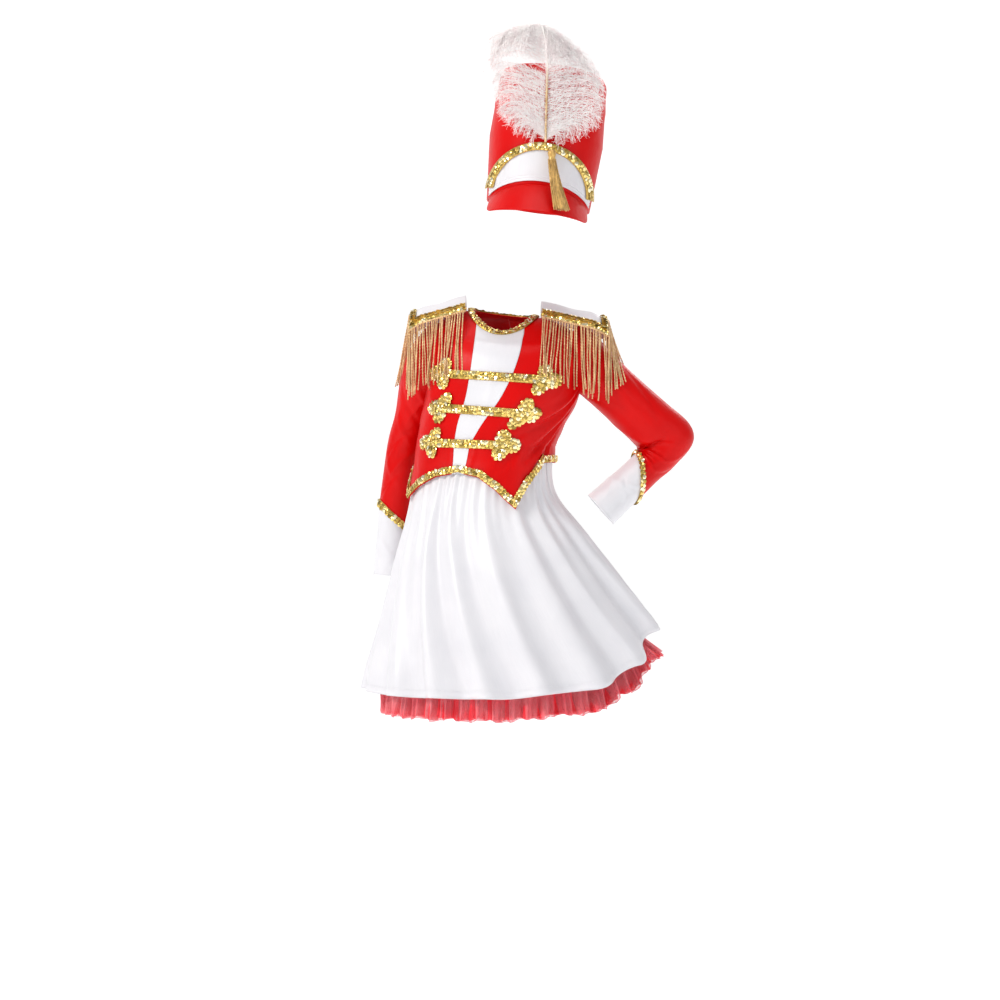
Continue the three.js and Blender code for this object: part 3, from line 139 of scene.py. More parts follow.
# Soft creases: from and to (angle and z, or an arm's turn and place), half width, height and sag
BODICE_CREASES = (
    (90, -100, 52, -158, 6, 1.7, 5),
    (92, -112, 44, -184, 5, -3.4, 7),
    (94, -124, 50, -206, 6, 2.2, 8),
    (94, -136, 54, -222, 5, -3.6, 7),
    (95, -150, 60, -236, 6, 2.4, 5),
    (95, -166, 66, -246, 5, -3.2, 4),
    (60, -118, 42, -140, 4, 1.2, 3),
    (80, -196, 54, -256, 5, -2.4, 3),
    (46, -206, 30, -240, 5, -1.8, 3),
    (-90, -104, -58, -150, 5, 1.6, 6),
    (-92, -132, -48, -196, 4, -1.5, 7),
    (-88, -160, -56, -222, 5, 1.7, 4),
    (-74, -186, -46, -238, 4, -1.3, 4),
    (-60, -112, -42, -136, 4, 1.1, 3),
    (30, -110, 24, -200, 4, -0.9, 3),
    (-24, -120, -20, -196, 4, -0.9, 3),
    (12, -190, 8, -236, 4, 0.9, 2),
    (-12, -170, -9, -232, 4, 0.8, 2),
    (0, -96, 4, -150, 5, 0.8, 4),
    (120, -90, 150, -150, 6, 1.8, 6),
    (112, -128, 158, -196, 5, -1.6, 5),
    (140, -84, 172, -120, 5, 1.4, 4),
    (104, -166, 146, -218, 5, 1.6, 4),
    (-118, -92, -152, -154, 6, 1.7, 6),
    (-110, -130, -160, -200, 5, -1.5, 5),
    (-106, -170, -148, -220, 5, 1.5, 4),
    (-168, -60, -172, -140, 6, -1.2, 3),
)
RIGHT_SLEEVE_CREASES = (
    (60, 1.6, 150, 2.9, 4, 2.0, 5),
    (30, 2.2, 140, 3.5, 4, -1.8, 6),
    (150, 2.0, 80, 3.3, 4, 1.7, 4),
    (40, 3.2, 120, 4.1, 4, 1.6, 4),
    (110, 3.6, 30, 4.6, 4, -1.5, 5),
    (140, 4.2, 60, 5.0, 4, 1.7, 3),
    (20, 4.4, 90, 5.3, 4, 1.3, 3),
    (100, 4.9, 20, 5.8, 3.5, -1.3, 3),
    (160, 1.4, 200, 3.0, 5, 1.6, 5),
    (210, 2.4, 300, 3.4, 5, 1.8, 6),
    (330, 2.0, 240, 3.2, 4, -1.6, 5),
    (200, 3.8, 290, 4.6, 4, 1.6, 4),
    (300, 4.2, 220, 5.2, 4, -1.4, 4),
    (350, 3.0, 280, 4.0, 4, 1.3, 4),
    (0, 1.4, 20, 3.4, 5, 1.2, 5),
)
LEFT_SLEEVE_CREASES = (
    (150, 0.9, 90, 2.0, 5, 2.0, 6),
    (170, 1.4, 100, 2.7, 4, -1.9, 5),
    (60, 1.2, 100, 2.5, 5, 1.6, 6),
    (30, 1.8, 80, 3.0, 4, -1.4, 5),
    (180, 2.4, 110, 3.7, 4, 2.1, 4),
    (176, 3.0, 90, 4.1, 4, -2.0, 4),
    (168, 3.7, 70, 4.3, 4, 2.2, 3),
    (184, 4.3, 84, 4.9, 3.5, -2.0, 3),
    (176, 4.8, 66, 5.2, 3.5, 2.2, 3),
    (186, 5.3, 92, 5.7, 3.5, -1.8, 2),
    (170, 5.8, 60, 6.1, 3.5, 1.7, 2),
    (20, 4.4, 70, 5.2, 4, 1.4, 4),
    (10, 5.2, 60, 6.2, 4, -1.3, 4),
    (210, 1.4, 280, 2.6, 5, 1.8, 6),
    (200, 2.8, 290, 3.6, 4, -1.8, 5),
    (190, 3.8, 280, 4.4, 4, 1.9, 3),
    (186, 4.6, 270, 5.0, 3.5, -1.7, 3),
    (340, 1.6, 300, 3.4, 5, 1.3, 6),
    (350, 4.6, 290, 5.8, 4, 1.3, 4),
)
CUFF_CREASES = (
    (40, 6.9, 110, 7.5, 3.5, 1.3, 3),
    (150, 7.1, 70, 7.9, 3.5, -1.2, 3),
    (100, 7.6, 40, 8.3, 3.5, 1.2, 3),
    (170, 7.5, 110, 8.4, 3.5, 1.1, 3),
    (220, 7.0, 290, 7.9, 3.5, 1.2, 3),
    (320, 7.3, 250, 8.2, 3.5, -1.1, 3),
    (10, 7.3, 340, 8.2, 3.5, 1.0, 3),
)
CREASE_ARM_RADIUS = 31
CREASE_ARM_STEP = 42
CREASE_END_STRENGTH = 0.35
CREASE_TAPER = 0.06
FOLD_TAPER = 0.05

# Arm sections from inside the shoulder to the cuff's end: x, y, z, lean, half width across, half depth
RIGHT_ARM = np.array([
    (-84, 14, -38, 130, 43, 42),
    (-112, 28, -70, 140, 41, 42),
    (-129, 50, -105, 155, 34, 38),
    (-140, 70, -145, 166, 29, 34),
    (-154, 84, -190, 170, 28, 32),
    (-163, 94, -240, 174, 27, 31),
    (-170, 102, -292, 175, 27, 29),
    (-174, 106, -345, 176, 27.5, 28.5),
    (-179, 110, -402, 177, 28, 28),
], dtype=float)
LEFT_ARM = np.array([
    (92, -14, -38, 45, 43, 42),
    (134, -18, -78, 46, 41, 42),
    (172, -12, -113, 50, 39, 41),
    (233, 2, -168, 52, 41, 41),
    (253, 12, -191, 12, 45, 40),
    (240, 10, -214, -20, 32.5, 37),
    (226, -2, -227, -48, 28, 33),
    (203, -16, -249, -49, 27.5, 30),
    (176, -32, -273, -49, 28.5, 29),
    (149, -48, -297, -49, 30, 29),
], dtype=float)
# Place of the cuff seam and its slant across and to the front
CUFF_SEAMS = {"right": (6.4, -0.42, 0.0), "left": (6.9, 0.7, -0.3)}
ARMS = {"right": RIGHT_ARM, "left": LEFT_ARM}
ARM_OUTWARD = {"right": -1, "left": 1}
SLEEVE_CREASES = {"right": RIGHT_SLEEVE_CREASES, "left": LEFT_SLEEVE_CREASES}

# Frogging: height, fall towards the left, and the angles of its two ends
FROGS = ((-95, 12, -39, 41), (-147, 11, -32, 38), (-197, 5, -30, 34))
BRAID_WIDTH = 13
BRAID_INSET = 5.6
CLOVER_RADIUS = 17
CLOVER_LOBE = 0.42

# Shoulder boards: neck end, shoulder end, ridge heights, and the side that the edge turns to
BOARDS = {
    "right": {"neck": (-57, 0), "end": (-144, 20), "ridge": (22, 0), "side": 1},
    "left": {"neck": (59, -7), "end": (160, -22), "ridge": (12, -12), "side": -1},
}
BOARD_HALF_DEPTH = (41, 44)
BOARD_DOME = 27
BOARD_TIP_DROP = 9
RIM_INSET = 0.7
TRIM_WIDTH = 10
TRIM_HEIGHT = 2.6

# Hat: place of its base, lean in degrees, and rings of height, half width and half depth
HAT_PLACE = (54, -15, 171)
HAT_ROLL = 7.2
HAT_RINGS = np.array([(0, 80, 88), (100, 88, 93), (186, 83, 87)], dtype=float)
HAT_TOP = ((187, 1.0), (195, 0.985), (203, 0.93), (208, 0.8), (210, 0.7), (210.4, 0.35), (210.5, 0.02))
VISOR_SPAN = 70
VISOR_SEAM_RISE = 24
VISOR_REACH = 34
VISOR_DROP = (24, 34)
BAND_SPAN = 82
ARCH = (4, 81)
HAT_BRAID_WIDTH = 12
TASSEL_LEAN = 14
TASSEL = {"x": 10, "z": 74, "radius": 6.5, "length": 16, "stand": 4.1, "strands": 82}

# Plume: height above its foot, half widths to the right and left, bow to the front, curl to the right
PLUME_FOOT = (-1, 84)
PLUME = np.array([
    (0, 10, 9, 8, 0), (14, 46, 46, 9, 1.5), (34, 70, 75, 10, 3.5), (64, 80, 85, 10, 6.5),
    (94, 86, 86, 11, 9.5), (122, 88, 66, 15, 12.5), (144, 84, 42, 22, 17), (160, 60, 28, 30, 23),
    (169, 24, 12, 36, 27),
], dtype=float)
PLUME_STAND = 4.7
PLUME_LAST = len(PLUME) - 1
PLUME_GAP = (4.22, 4.68)

# Backdrop: a floor that bends up behind the costume
BACKDROP = {"front": -9000, "back": 4500, "bend": 2500, "top": 11000, "half": 12000, "steps": 25}

# Colours of the sequins from dark to bright, partly their own varied gold and partly painted glints and dark
# reflections, and the dark and light tones of the other metal threads
SEQUIN_TONES_AND_GLINTS = (
    (0.0, (0.3, 0.21, 0.05)), (0.25, (0.72, 0.5, 0.12)), (0.7, (0.96, 0.74, 0.26)), (1.0, (1.0, 0.95, 0.7)),
)
TAPE_TONES = ((0.4, 0.25, 0.05), (0.8, 0.56, 0.16))
TASSEL_TONES = ((0.36, 0.18, 0.03), (0.95, 0.62, 0.2))
FRINGE_SHADE = (0.46, 0.2, 0.06)

# Shaded tones of the cloth, and the tones of net, thread, feather and quill
RED_SHADE = (0.42, 0.001, 0.001)
WHITE_SHADE = (0.62, 0.62, 0.67)
TULLE_LIGHT = (1.0, 0.09, 0.12)
PALE_TULLE_TONES = ((1.0, 0.14, 0.18), (1.0, 0.34, 0.37))
FEATHER_SHADE = (0.95, 0.87, 0.87)
THREAD_TONES = ((0.7, 0.7, 0.74), (0.86, 0.86, 0.88))
QUILL_TONES = ((0.5, 0.3, 0.12), (0.82, 0.6, 0.34))
QUILL_PALE = (0.86, 0.82, 0.8)
QUILL_PALE_HEIGHTS = (0.33, 0.385)
FLOOR_COLOUR = (0.9, 0.9, 0.9)
WORLD_COLOUR = (0.95, 0.96, 0.97)

# Ranges that a noise value is read from and mapped to
MOST = (0.3, 0.7)
MIDDLE = (0.35, 0.65)
UNIT = (0.0, 1.0)
CENTRED = (-0.5, 0.5)

# Satin: stretch of slubs and threads, size of crinkles and patches, and what they do
SLUB_STRETCH = (90, 4, 1)
THREAD_STRETCH = (220, 40, 1)
CRINKLE_SCALE = 46.0
CRINKLE_ROUGHNESS = 0.45
PATCH_SCALE = 17.0
PATCH_RANGE = (0.38, 0.7)
PATCH_SHADE = (0.0, 0.22)
SLUB_RANGE = (0.35, 0.75)
SLUB_SHADE = (0.0, 0.14)
SLUB_LUSTRE = 0.12
SLUB_HEIGHT = 0.12
THREAD_HEIGHT = 0.05
SATIN_BUMP = (0.32, 0.0022)
SATIN_SHEEN_SPREAD = 0.35
SATIN_GRAIN = 0.35
RED_FINISH = {"lustre": 0.36, "sheen": 0.0, "gloss": 0.14}
WHITE_FINISH = {"lustre": 0.34, "sheen": 0.1, "gloss": 0.5}

# Metal threads, net and fibres: noise scale, bump, roughness and metal
SEQUIN_ROUGHNESS = (0.3, 0.12)
SEQUIN_METAL = 0.92
TAPE_SCALE = 700.0
TAPE_ROUGHNESS = (0.55, 0.3)
TAPE_BUMP = (0.6, 0.0008)
TAPE_METAL = 0.75
STREAK_STRETCH = (420, 420, 60)
STREAK_PATCH_SCALE = 60.0
STREAK_RANGE = (0.45, 1.0)
STREAK_ROUGHNESS = (0.5, 0.3)
STREAK_BUMP = (0.5, 0.0006)
STREAK_METAL = 0.45
STREAK_SHEEN = 0.3
NET_STRETCH = (60, 60, 1)
NET_PATCH_SCALE = 30.0
NET_PATCH_RANGE = (0.35, 0.7)
NET_PATCH_SHARE = (0.0, 0.8)
NET_EDGE = 0.45
NET_UNEVEN = 0.35
NET_ROUGHNESS = (0.75, 0.5)
NET_BUMP = (0.3, 0.0006)
NET_SHEEN = 0.1
TULLE_COVER = 0.66
PALE_TULLE_COVER = 0.3
FIBRE_BUMP = (0.2, 0.0005)
FIBRE_ROUGHNESS_SPAN = 0.08
FEATHER_FINISH = {"scale": 90.0, "roughness": 0.75, "sheen": 0.5}
THREAD_FINISH = {"scale": 500.0, "roughness": 0.6, "sheen": 0.2}
QUILL_SCALE = 160.0
QUILL_ROUGHNESS = (0.52, 0.38)

# Node trees: the sizes in metres that each one starts from
SEQUIN_SIZES = {"Sequin radius": 0.0026, "Cup depth": 0.0007}
STITCH_SIZES = {"Stitch length": 0.0026, "Thread radius": 0.00022}
STRAND_SIZES = {"Strand radius": 0.0011, "Flatness": 0.55, "Turns per metre": 120.0}
BARB_SIZES = {
    "Barb radius": 0.0004, "Flatness": 0.5, "Barbule length": 0.0095, "Barbule width": 0.00042,
    "Barbule step": 0.00105, "Spread": 0.95,
}
BARBULE_SCALE = (0.5, 1.15)
LOOSE_TILT = 0.2
SEQUIN_CORNERS = 10
SEQUIN_FLAT = 0.45
SEQUIN_CUP = 0.28
THREAD_SIDES = 5
STRAND_SIDES = 6
BARB_SIDES = 4
ALL_WAYS = ((-1.0, -1.0, -1.0), (1.0, 1.0, 1.0))
HEM_STITCH = {"Stitch length": 0.0032, "Tilt": 0.05, "Seed": 5}
FRINGE_STRAND = {"Flatness": 0.55, "Turns per metre": 105.0}
TASSEL_STRAND = {"Strand radius": 0.00085, "Flatness": 0.6, "Turns per metre": 150.0}
QUILL_STRAND = {"Strand radius": 0.0017, "Flatness": 0.9, "Turns per metre": 0.0}

# Sequin strips: how high the discs ride, their pitch, and the steps in which a strip is measured
TAPE_HEIGHT = TRIM_HEIGHT * 0.8
SEQUIN_PITCH = 6.4
RIM_PITCH = 4.6
STRIP_SAMPLES = 400
TAPE_ROWS = 7
TAPE_EDGE = 0.45
TRIM_LIFT = 0.6
NECK_TRIM_LIFT = 0.5
CUFF_TRIM_REACH = (-0.17, 0.07)
SEEDS = {"trims": 11, "braids": 31, "clovers": 51, "boards": 71, "board_rims": 76, "hat_braid": 91}

# Trims as low and high edge, rows of sequins, and columns of the tape
NECK_TRIM = (1.0, 9.5, (3.3, 6.9), 180)
HEM_TRIM = (0.0, 1.0, (0.3, 0.7), 420)
CUFF_TRIM = (0.0, 1.0, (0.32, 0.74), 120)
BRAID_ROW = 0.42
BRAID_COLUMNS = 60
HAT_BRAID_ROWS = (4.0, 8.0)
HAT_BRAID_COLUMNS = 140

# Clovers: rings of scale and lift of the pad, and rings of scale and count of the sequins
CLOVER_CORNERS = 60
CLOVER_PAD = ((1.0, 0.1), (1.0, 1.2), (0.93, 2.0), (0.8, 2.5), (0.55, 2.9), (0.3, 3.0), (0.02, 3.0))
CLOVER_SEQUINS = ((0.94, 26), (0.7, 18), (0.42, 10), (0.12, 3))
CLOVER_DOME = ((0.3, 1.0), (3.2, 1.9))
CLOVER_SHIFT = 2

# Sleeves and cuffs
SLEEVE_COLUMNS = 112
SLEEVE_ROWS = 96
SLEEVE_FADE_IN = (0.6, 1.4)
SLEEVE_FADE_OUT = (0.93, 1)
SLEEVE_CALM = 0.7
CUFF_ROWS = 34
CUFF_GAP = 0.01
CUFF_FADE_OUT = (0.85, 1)
CUFF_CALM = 0.6
CUFF_HEM = {"depth": 0.5, "share": 12, "sharp": 8}

# Skirt: rows of the fine part at the waist, its seams, and the fold and stitches of the hem
SKIRT_WAIST = {"start": 0.002, "end": 0.3, "rows": 24}
SKIRT_END = 0.998
SKIRT_STEPS = 66
SKIRT_SPAN = 470
SKIRT_SEAM_GAP = 0.13
SKIRT_HUB = (-10, 0, -700)
HALVES = (("front", -90), ("back", 90))
HEM_FOLD = 0.968
HEM_FOLD_SPAN = (HEM_FOLD - 0.004, HEM_FOLD + 0.002)
HEM_FOLD_HEIGHT = 0.55
HEM_STITCHES = 300
HEM_STITCH_FALL = HEM_FOLD - 0.002
HEM_STITCH_LIFT = 0.15
HEM_STITCH_INSET = 0.5
HEM_STITCH_STEP = 0.2

# Tulle layers as name, material and reach, and the ruffles of their loose part below the skirt
TULLE_LAYERS = (("outer", "tulle_pale", 1.0), ("middle", "tulle", 0.94), ("inner", "tulle", 0.86))
TULLE_COLUMNS = 341
TULLE_SEAM_GAP = 0.2
TULLE_ROWS = 6
TULLE_LOOSE_ROWS = 11
TULLE_OUT_FALL = 0.9
TULLE_FLARE_POWER = 1.1
TULLE_UNEVEN = ((23, 0.05), (61, 0.04))
TULLE_WAVES = ({"count": 97, "height": 2.6, "drift": 3, "drift_count": 4, "turn": 2},
               {"count": 46, "height": 2.0, "drift": 2, "drift_count": 3, "turn": 1})

# Shoulder boards: grid, puckers near the edges, dents in the middle, and how trims sit on them
BOARD_STEPS = 61
BOARD_CORNER = {"start": 0.8, "loss": 0.12}
BOARD_TIP = (0.75, 1.1)
BOARD_EDGE_STEPS = 25
BOARD_PUCKERS = {"height": 0.35, "count": 21, "slant": 2, "start": (0.35, 0.9)}
BOARD_DENTS = {"height": 0.8, "count": 3.1, "slant": 1.3}
BOARD_SUNK = 0.6
BOARD_HUB_Z = -400
BOARD_TRIM_COLUMNS = 150
BOARD_TRIM_SPAN = (0.004, 0.996)
BOARD_TRIM_ROWS = (3.1, 6.9)
BOARD_TRIM_LIFT = 1.2
RIM_OUT = 0.85
RIM_UP = 0.5

# Fringe: offset from the board and clearance of each layer, lengths along the edge, and random ranges
FRINGE_LAYERS = ((1.1, 1.6), (2.3, 2.9))
FRINGE_SEEDS = {"right": 7, "left": 8}
FRINGE_JITTER = 0.3
FRINGE_RAISE = 0.2
FRINGE_LENGTHS = ((0, 0.5, 1), (104, 108, 96))
FRINGE_LENGTH_CHANGE = (-0.09, 0.03)
FRINGE_CLUMP = {"height": 3.6, "turn": 61, "loose": 5.0, "power": 1.4}
FRINGE_RIPPLE = {"height": 0.7, "turn": 8, "phase": 6}
FRINGE_GIRTH = (0.85, 1.05)
STRAND_END = 0.97
FRINGE_END_GIRTH = 0.7
TIP_SLIDE = {"start": (0.3, 0.7), "aside": 0.55, "ahead": 0.45}
HEADING = {"low": -2.6, "high": 0.6, "columns": 160, "height": 2.4, "stand": 0.4}

# Strands hang over what a ray meets behind them. RAY_REACH and BOARD_RAY_START are in metres.
RAY_START = 200
RAY_REACH = 0.4
RAY_SIDE = 1.7
BOARD_RAY_START = 0.3
HANG_STEPS = 40
HANG_SMOOTHING = 2
HANG_SPARE_STEPS = 8

# Hat shells and tassel
HAT_COLUMNS = 180
HAT_ROWS = 40
HAT_WALL = 2.0
HAT_CREASE_STEP = 1.5
HAT_TOP_RIM = 0.976
BAND_COLUMNS = 121
BAND_ROWS = 70
BAND_WALL = 1.2
BAND_LIFT = 2.2
BAND_CREASE = 1.3
BAND_FADE = (0.85, 1)
BAND_SEAMS = {"rises": (4.5, 8.5), "width": 0.9, "depth": 0.7}
VISOR_ROWS = 30
VISOR_WALL = 1.8
VISOR_CORNER = (46, VISOR_SPAN + 4)
VISOR_CORNER_LOSS = 0.6
VISOR_LIP = 1.5
VISOR_STAND = 0.4
VISOR_SIDE_REACH = 0.55
VISOR_BEND = 1.15
HAT_BRAID_STAND = 3.5
TASSEL_HEAD = ((0, 0.3), (1.2, 0.75), (3.5, 1.0), (8, 0.92), (11, 0.74), (13, 0.8), (16, 0.98))
TASSEL_CORNERS = 24
TASSEL_SEED = 3
TASSEL_COUNT = 90
TASSEL_FILL = 0.9
TASSEL_LENGTH_CHANGE = (-0.05, 0.02)
TASSEL_CLEARANCE = (1.4, 3.0)
TASSEL_STEPS = 30
TASSEL_SPLAY = 1.1
TASSEL_SPLAY_POWER = 1.2
TASSEL_LEAN_POWER = 1.3
TASSEL_END_GIRTH = 0.6
GOLDEN_TURN = math.pi * (3 - math.sqrt(5))

# Plume: quill, and the ranges from the lower vane to the upper one
QUILL_STEPS = 40
QUILL_TIP_GIRTH = 0.35
PLUME_SEED = 21
BARB_SEED = 4
BARB_STEPS = 14
BARB_START = 0.25
BARB_END = 0.3
BARB_TIP_START = 5.0
GAP_KEEP = 6
BARB_SHORTEST = (0.86, 0.8)
BARB_LONGEST = (1.0, 1.08)
BARB_LIFT = (20, 0)
BARB_UPPER_LIFT = 6
BARB_LIFT_CHANGE = (0.8, 1.15)
BARB_DROOP = (16, 32)
BARB_UPPER_DROOP = 16
BARB_DROOP_CHANGE = (0.5, 1.45)
BARB_SWAY = (-3, 5)
BARB_TIP_GIRTH = 0.3
BARB_ARC = 0.92
BARB_RISE_TURN = 0.62
BARB_DROOP_POWER = 2.6
BARB_WRAP = 0.0016
BARB_STAND = 2.6
BARB_BACK = 2.5
BARB_SWAY_SHARE = 0.4

DOWN = np.array([0.0, 0.0, -1.0])

# Studio: lamps as name, place, size, power and colour, and the camera of the photograph
LAMPS = (
    ("key", (-2.3, -1.9, 1.5), 0.9, 60, (1.0, 0.98, 0.95)),
    ("fill", (2.6, -2.2, 0.2), 1.8, 12, (0.95, 0.97, 1.0)),
    ("top", (0.1, -0.5, 2.6), 1.6, 26, (1.0, 1.0, 1.0)),
    ("rim", (1.4, 2.4, 1.6), 1.0, 16, (1.0, 1.0, 1.0)),
)
LAMP_AIM = (0, 0, -0.15)
FLOOR_ROUGHNESS = 0.9
FLOOR_GLOW = 0.46
WORLD_STRENGTH = 0.42
CAMERA_LENS = 85
CAMERA_SENSOR = 36
CAMERA_PLACE = (-0.0047, -3.66, -0.282)

# Working limits of the shape functions
STEP = 1e-3
TINY = 1e-12
LEVEL_HALVINGS = 24
UV_UNIT = 100
SHARP_ANGLE = 40


# Tables: a smooth curve through rows at equal steps, and a line or soft step between keyed rows
def blend_rows(table, place):
    place = np.asarray(place, dtype=float)
    last = len(table) - 1
    index = np.clip(np.floor(place).astype(int), 0, last - 1)
    t = (place - index)[..., None]
    before = table[np.maximum(index - 1, 0)]
    start = table[index]
    end = table[index + 1]
    after = table[np.minimum(index + 2, last)]
    start_slope = (end - before) / 2
    end_slope = (after - start) / 2
    bend = 3 * (end - start) - 2 * start_slope - end_slope
    twist = 2 * (start - end) + start_slope + end_slope
    return start + start_slope * t + bend * t * t + twist * t ** 3


def soft_step(value, low, high):
    t = np.clip((value - low) / (high - low), 0, 1)
    return t * t * (3 - 2 * t)


def read_table(table, column, value, soft):
    value = np.asarray(value, dtype=float)
    index = np.clip(np.searchsorted(table[:, 0], value, side="left") - 1, 0, len(table) - 2)
    low = table[index]
    high = table[index + 1]
    t = (value - low[..., 0]) / (high[..., 0] - low[..., 0])
    if soft:
        t = np.clip(t, 0, 1)
        t = t * t * (3 - 2 * t)
    return low[..., column] + (high[..., column] - low[..., column]) * t


def wrap_angle(degrees):
    return degrees - 360 * np.floor((degrees + 180) / 360)


def mix(start, end, share):
    return start + (end - start) * share


def crease_height(creases, along, down, scale_along, scale_down, wraps=None):
    """Height of the soft ridges and troughs at a place on the cloth, in millimetres."""
    height = np.zeros(np.broadcast(along, down).shape)
    for from_a, from_d, to_a, to_d, width, rise, sag in creases:
        off_a = along - from_a
        if wraps:
            off_a = off_a - wraps * np.round(off_a / wraps)
        run_a = (to_a - from_a) * scale_along
        run_d = (to_d - from_d) * scale_down
        off_a = off_a * scale_along
        off_d = (down - from_d) * scale_down
        length = math.hypot(run_a, run_d)
        t = (off_a * run_a + off_d * run_d) / length ** 2
        inside = np.clip(t, 0, 1)
        side = (off_d * run_a - off_a * run_d) / length - sag * 4 * inside * (1 - inside)
        past = np.abs(t - inside) * length
        away = np.hypot(side, past) / width
        bow = np.sin(np.pi * np.clip(t, CREASE_TAPER, 1 - CREASE_TAPER))
        height = height + rise * mix(CREASE_END_STRENGTH, 1, bow) * np.exp(-away ** 2)
    return height


# The dress surface: level above 0 for the bodice's rings and below 0 for the skirt's
def skirt_hem_z(angle):
    return read_table(SKIRT_HEM, 1, wrap_angle(angle), True)


def bodice_hem_level(angle):
    z = read_table(BODICE_HEM, 1, wrap_angle(angle), False)
    return (z - WAIST_Z) / (WAIST_Z - skirt_hem_z(angle))


def fold_height(angle, z):
    height = np.zeros(np.broadcast(angle, z).shape)
    for from_angle, from_z, to_angle, to_z, width, rise in BODICE_FOLDS:
        run_x = np.radians(to_angle - from_angle) * FOLD_REACH
        run_z = to_z - from_z
        off_x = np.radians(wrap_angle(angle - from_angle)) * FOLD_REACH
        off_z = z - from_z
        length = math.hypot(run_x, run_z)
        t = np.clip((off_x * run_x + off_z * run_z) / length ** 2, 0, 1)
        away = np.hypot(off_x - run_x * t, off_z - run_z * t) / width
        bow = np.sin(np.pi * np.clip(t, FOLD_TAPER, 1 - FOLD_TAPER))
        height = height + rise * bow * np.exp(-away ** 2)
    return height


def ring_point(x, y, width, depth, yaw, turn, bulge):
    across = width * np.sin(turn) * bulge
    ahead = depth * np.cos(turn) * bulge
    yaw = np.radians(yaw)
    return (x + across * np.cos(yaw) - ahead * np.sin(yaw),
            y - across * np.sin(yaw) - ahead * np.cos(yaw))


def torso_point(angle, level):
    turn = np.radians(angle)
    row = np.moveaxis(blend_rows(TORSO, level), -1, 0)
    z, centre_x, centre_y, width, depth, yaw, tilt, drop, _ = row
    bulge = 1 + TORSO_SQUARENESS * np.sin(2 * turn) ** 2
    rise = fold_height(angle, z)
    x, y = ring_point(centre_x, centre_y, width + rise, depth + rise, yaw, turn, bulge)
    height = z - drop * np.maximum(0, np.cos(turn)) ** 2 - np.tan(np.radians(tilt)) * x
    return np.stack([x, y, height], axis=-1)


def skirt_point(angle, fall):
    turn = np.radians(angle)
    row = np.moveaxis(blend_rows(SKIRT, fall * (len(SKIRT) - 1)), -1, 0)
    centre_x, centre_y, width, depth, yaw = row
    squareness = TORSO_SQUARENESS * np.maximum(0, 1 - 3 * fall)
    bulge = 1 + squareness * np.sin(2 * turn) ** 2
    x, y = ring_point(centre_x, centre_y, width, depth, yaw, turn, bulge)
    return np.stack([x, y, mix(WAIST_Z, skirt_hem_z(angle), fall)], axis=-1)


def dress_point(angle, level):
    angle, level = np.broadcast_arrays(np.asarray(angle, float), np.asarray(level, float))
    upper = torso_point(angle, np.maximum(level, 0))
    lower = skirt_point(angle, np.maximum(-level, 0))
    return np.where(level[..., None] < 0, lower, upper)


def normal_of(surface, u, v):
    along = surface(u + STEP, v) - surface(u - STEP, v)
    up = surface(u, v + STEP) - surface(u, v - STEP)
    normal = np.cross(along, up)
    return normal / np.maximum(np.linalg.norm(normal, axis=-1, keepdims=True), TINY)


def lifted(surface, u, v, lift):
    return surface(u, v) + normal_of(surface, u, v) * np.asarray(lift)[..., None]


def level_at(angle, z):
    angle, z = np.broadcast_arrays(np.asarray(angle, float), np.asarray(z, float))
    low = np.zeros(z.shape)
    high = np.full(z.shape, float(NECK_LEVEL))
    for _ in range(LEVEL_HALVINGS):
        middle = (low + high) / 2
        below = torso_point(angle, middle)[..., 2] < z
        low = np.where(below, middle, low)
        high = np.where(below, high, middle)
    in_skirt = (z - WAIST_Z) / (WAIST_Z - skirt_hem_z(angle))
    return np.where(z < WAIST_Z, in_skirt, low)


def wedge_angle(level):
    row = blend_rows(TORSO, np.maximum(level, 0))
    narrowing = np.where(level < 0, mix(1, WEDGE_TIP, -level), 1)
    return np.degrees(np.arcsin(row[..., WEDGE_COLUMN] * narrowing / row[..., WIDTH_COLUMN]))


# Arms: turn 0 on the outer side and 90 at the front, place along the sections
def arm_point(arm, turn, place):
    row = np.moveaxis(blend_rows(arm, place), -1, 0)
    x, y, z, lean, across, depth = row
    lean = np.radians(lean)
    reach = across * np.cos(np.radians(turn))
    ahead = depth * np.sin(np.radians(turn))
    return np.stack([x + np.cos(lean) * reach, y - ahead, z + np.sin(lean) * reach], axis=-1)


def cuff_seam(side, turn):
    seam, slant_across, slant_front = CUFF_SEAMS[side]
    return seam + slant_across * np.cos(np.radians(turn)) + slant_front * np.sin(np.radians(turn))


def arm_lifted(side, turn, place, lift):
    return lifted(partial(arm_point, ARMS[side]), turn, place, np.asarray(lift) * ARM_OUTWARD[side])


# Skirt waves
def slow_waves(turn, waves):
    return sum(height * np.sin(count * turn + phase) for count, height, phase in waves)


def flute_wave(angle):
    turn = np.radians(angle)
    share = FLUTE_LEVEL + slow_waves(turn, FLUTE_CHANGE)
    return share * np.cos(FLUTES * turn + slow_waves(turn, FLUTE_DRIFT) * FLUTES / 4)


def gather_wave(angle, count):
    turn = np.radians(angle)
    share = GATHER_LEVEL + slow_waves(turn, GATHER_CHANGE)
    return share * np.cos(count * turn + slow_waves(turn, GATHER_DRIFT))


def waist_tuck(fall):
    return TUCK * (1 - soft_step(fall, TUCK_END / 2, TUCK_END))


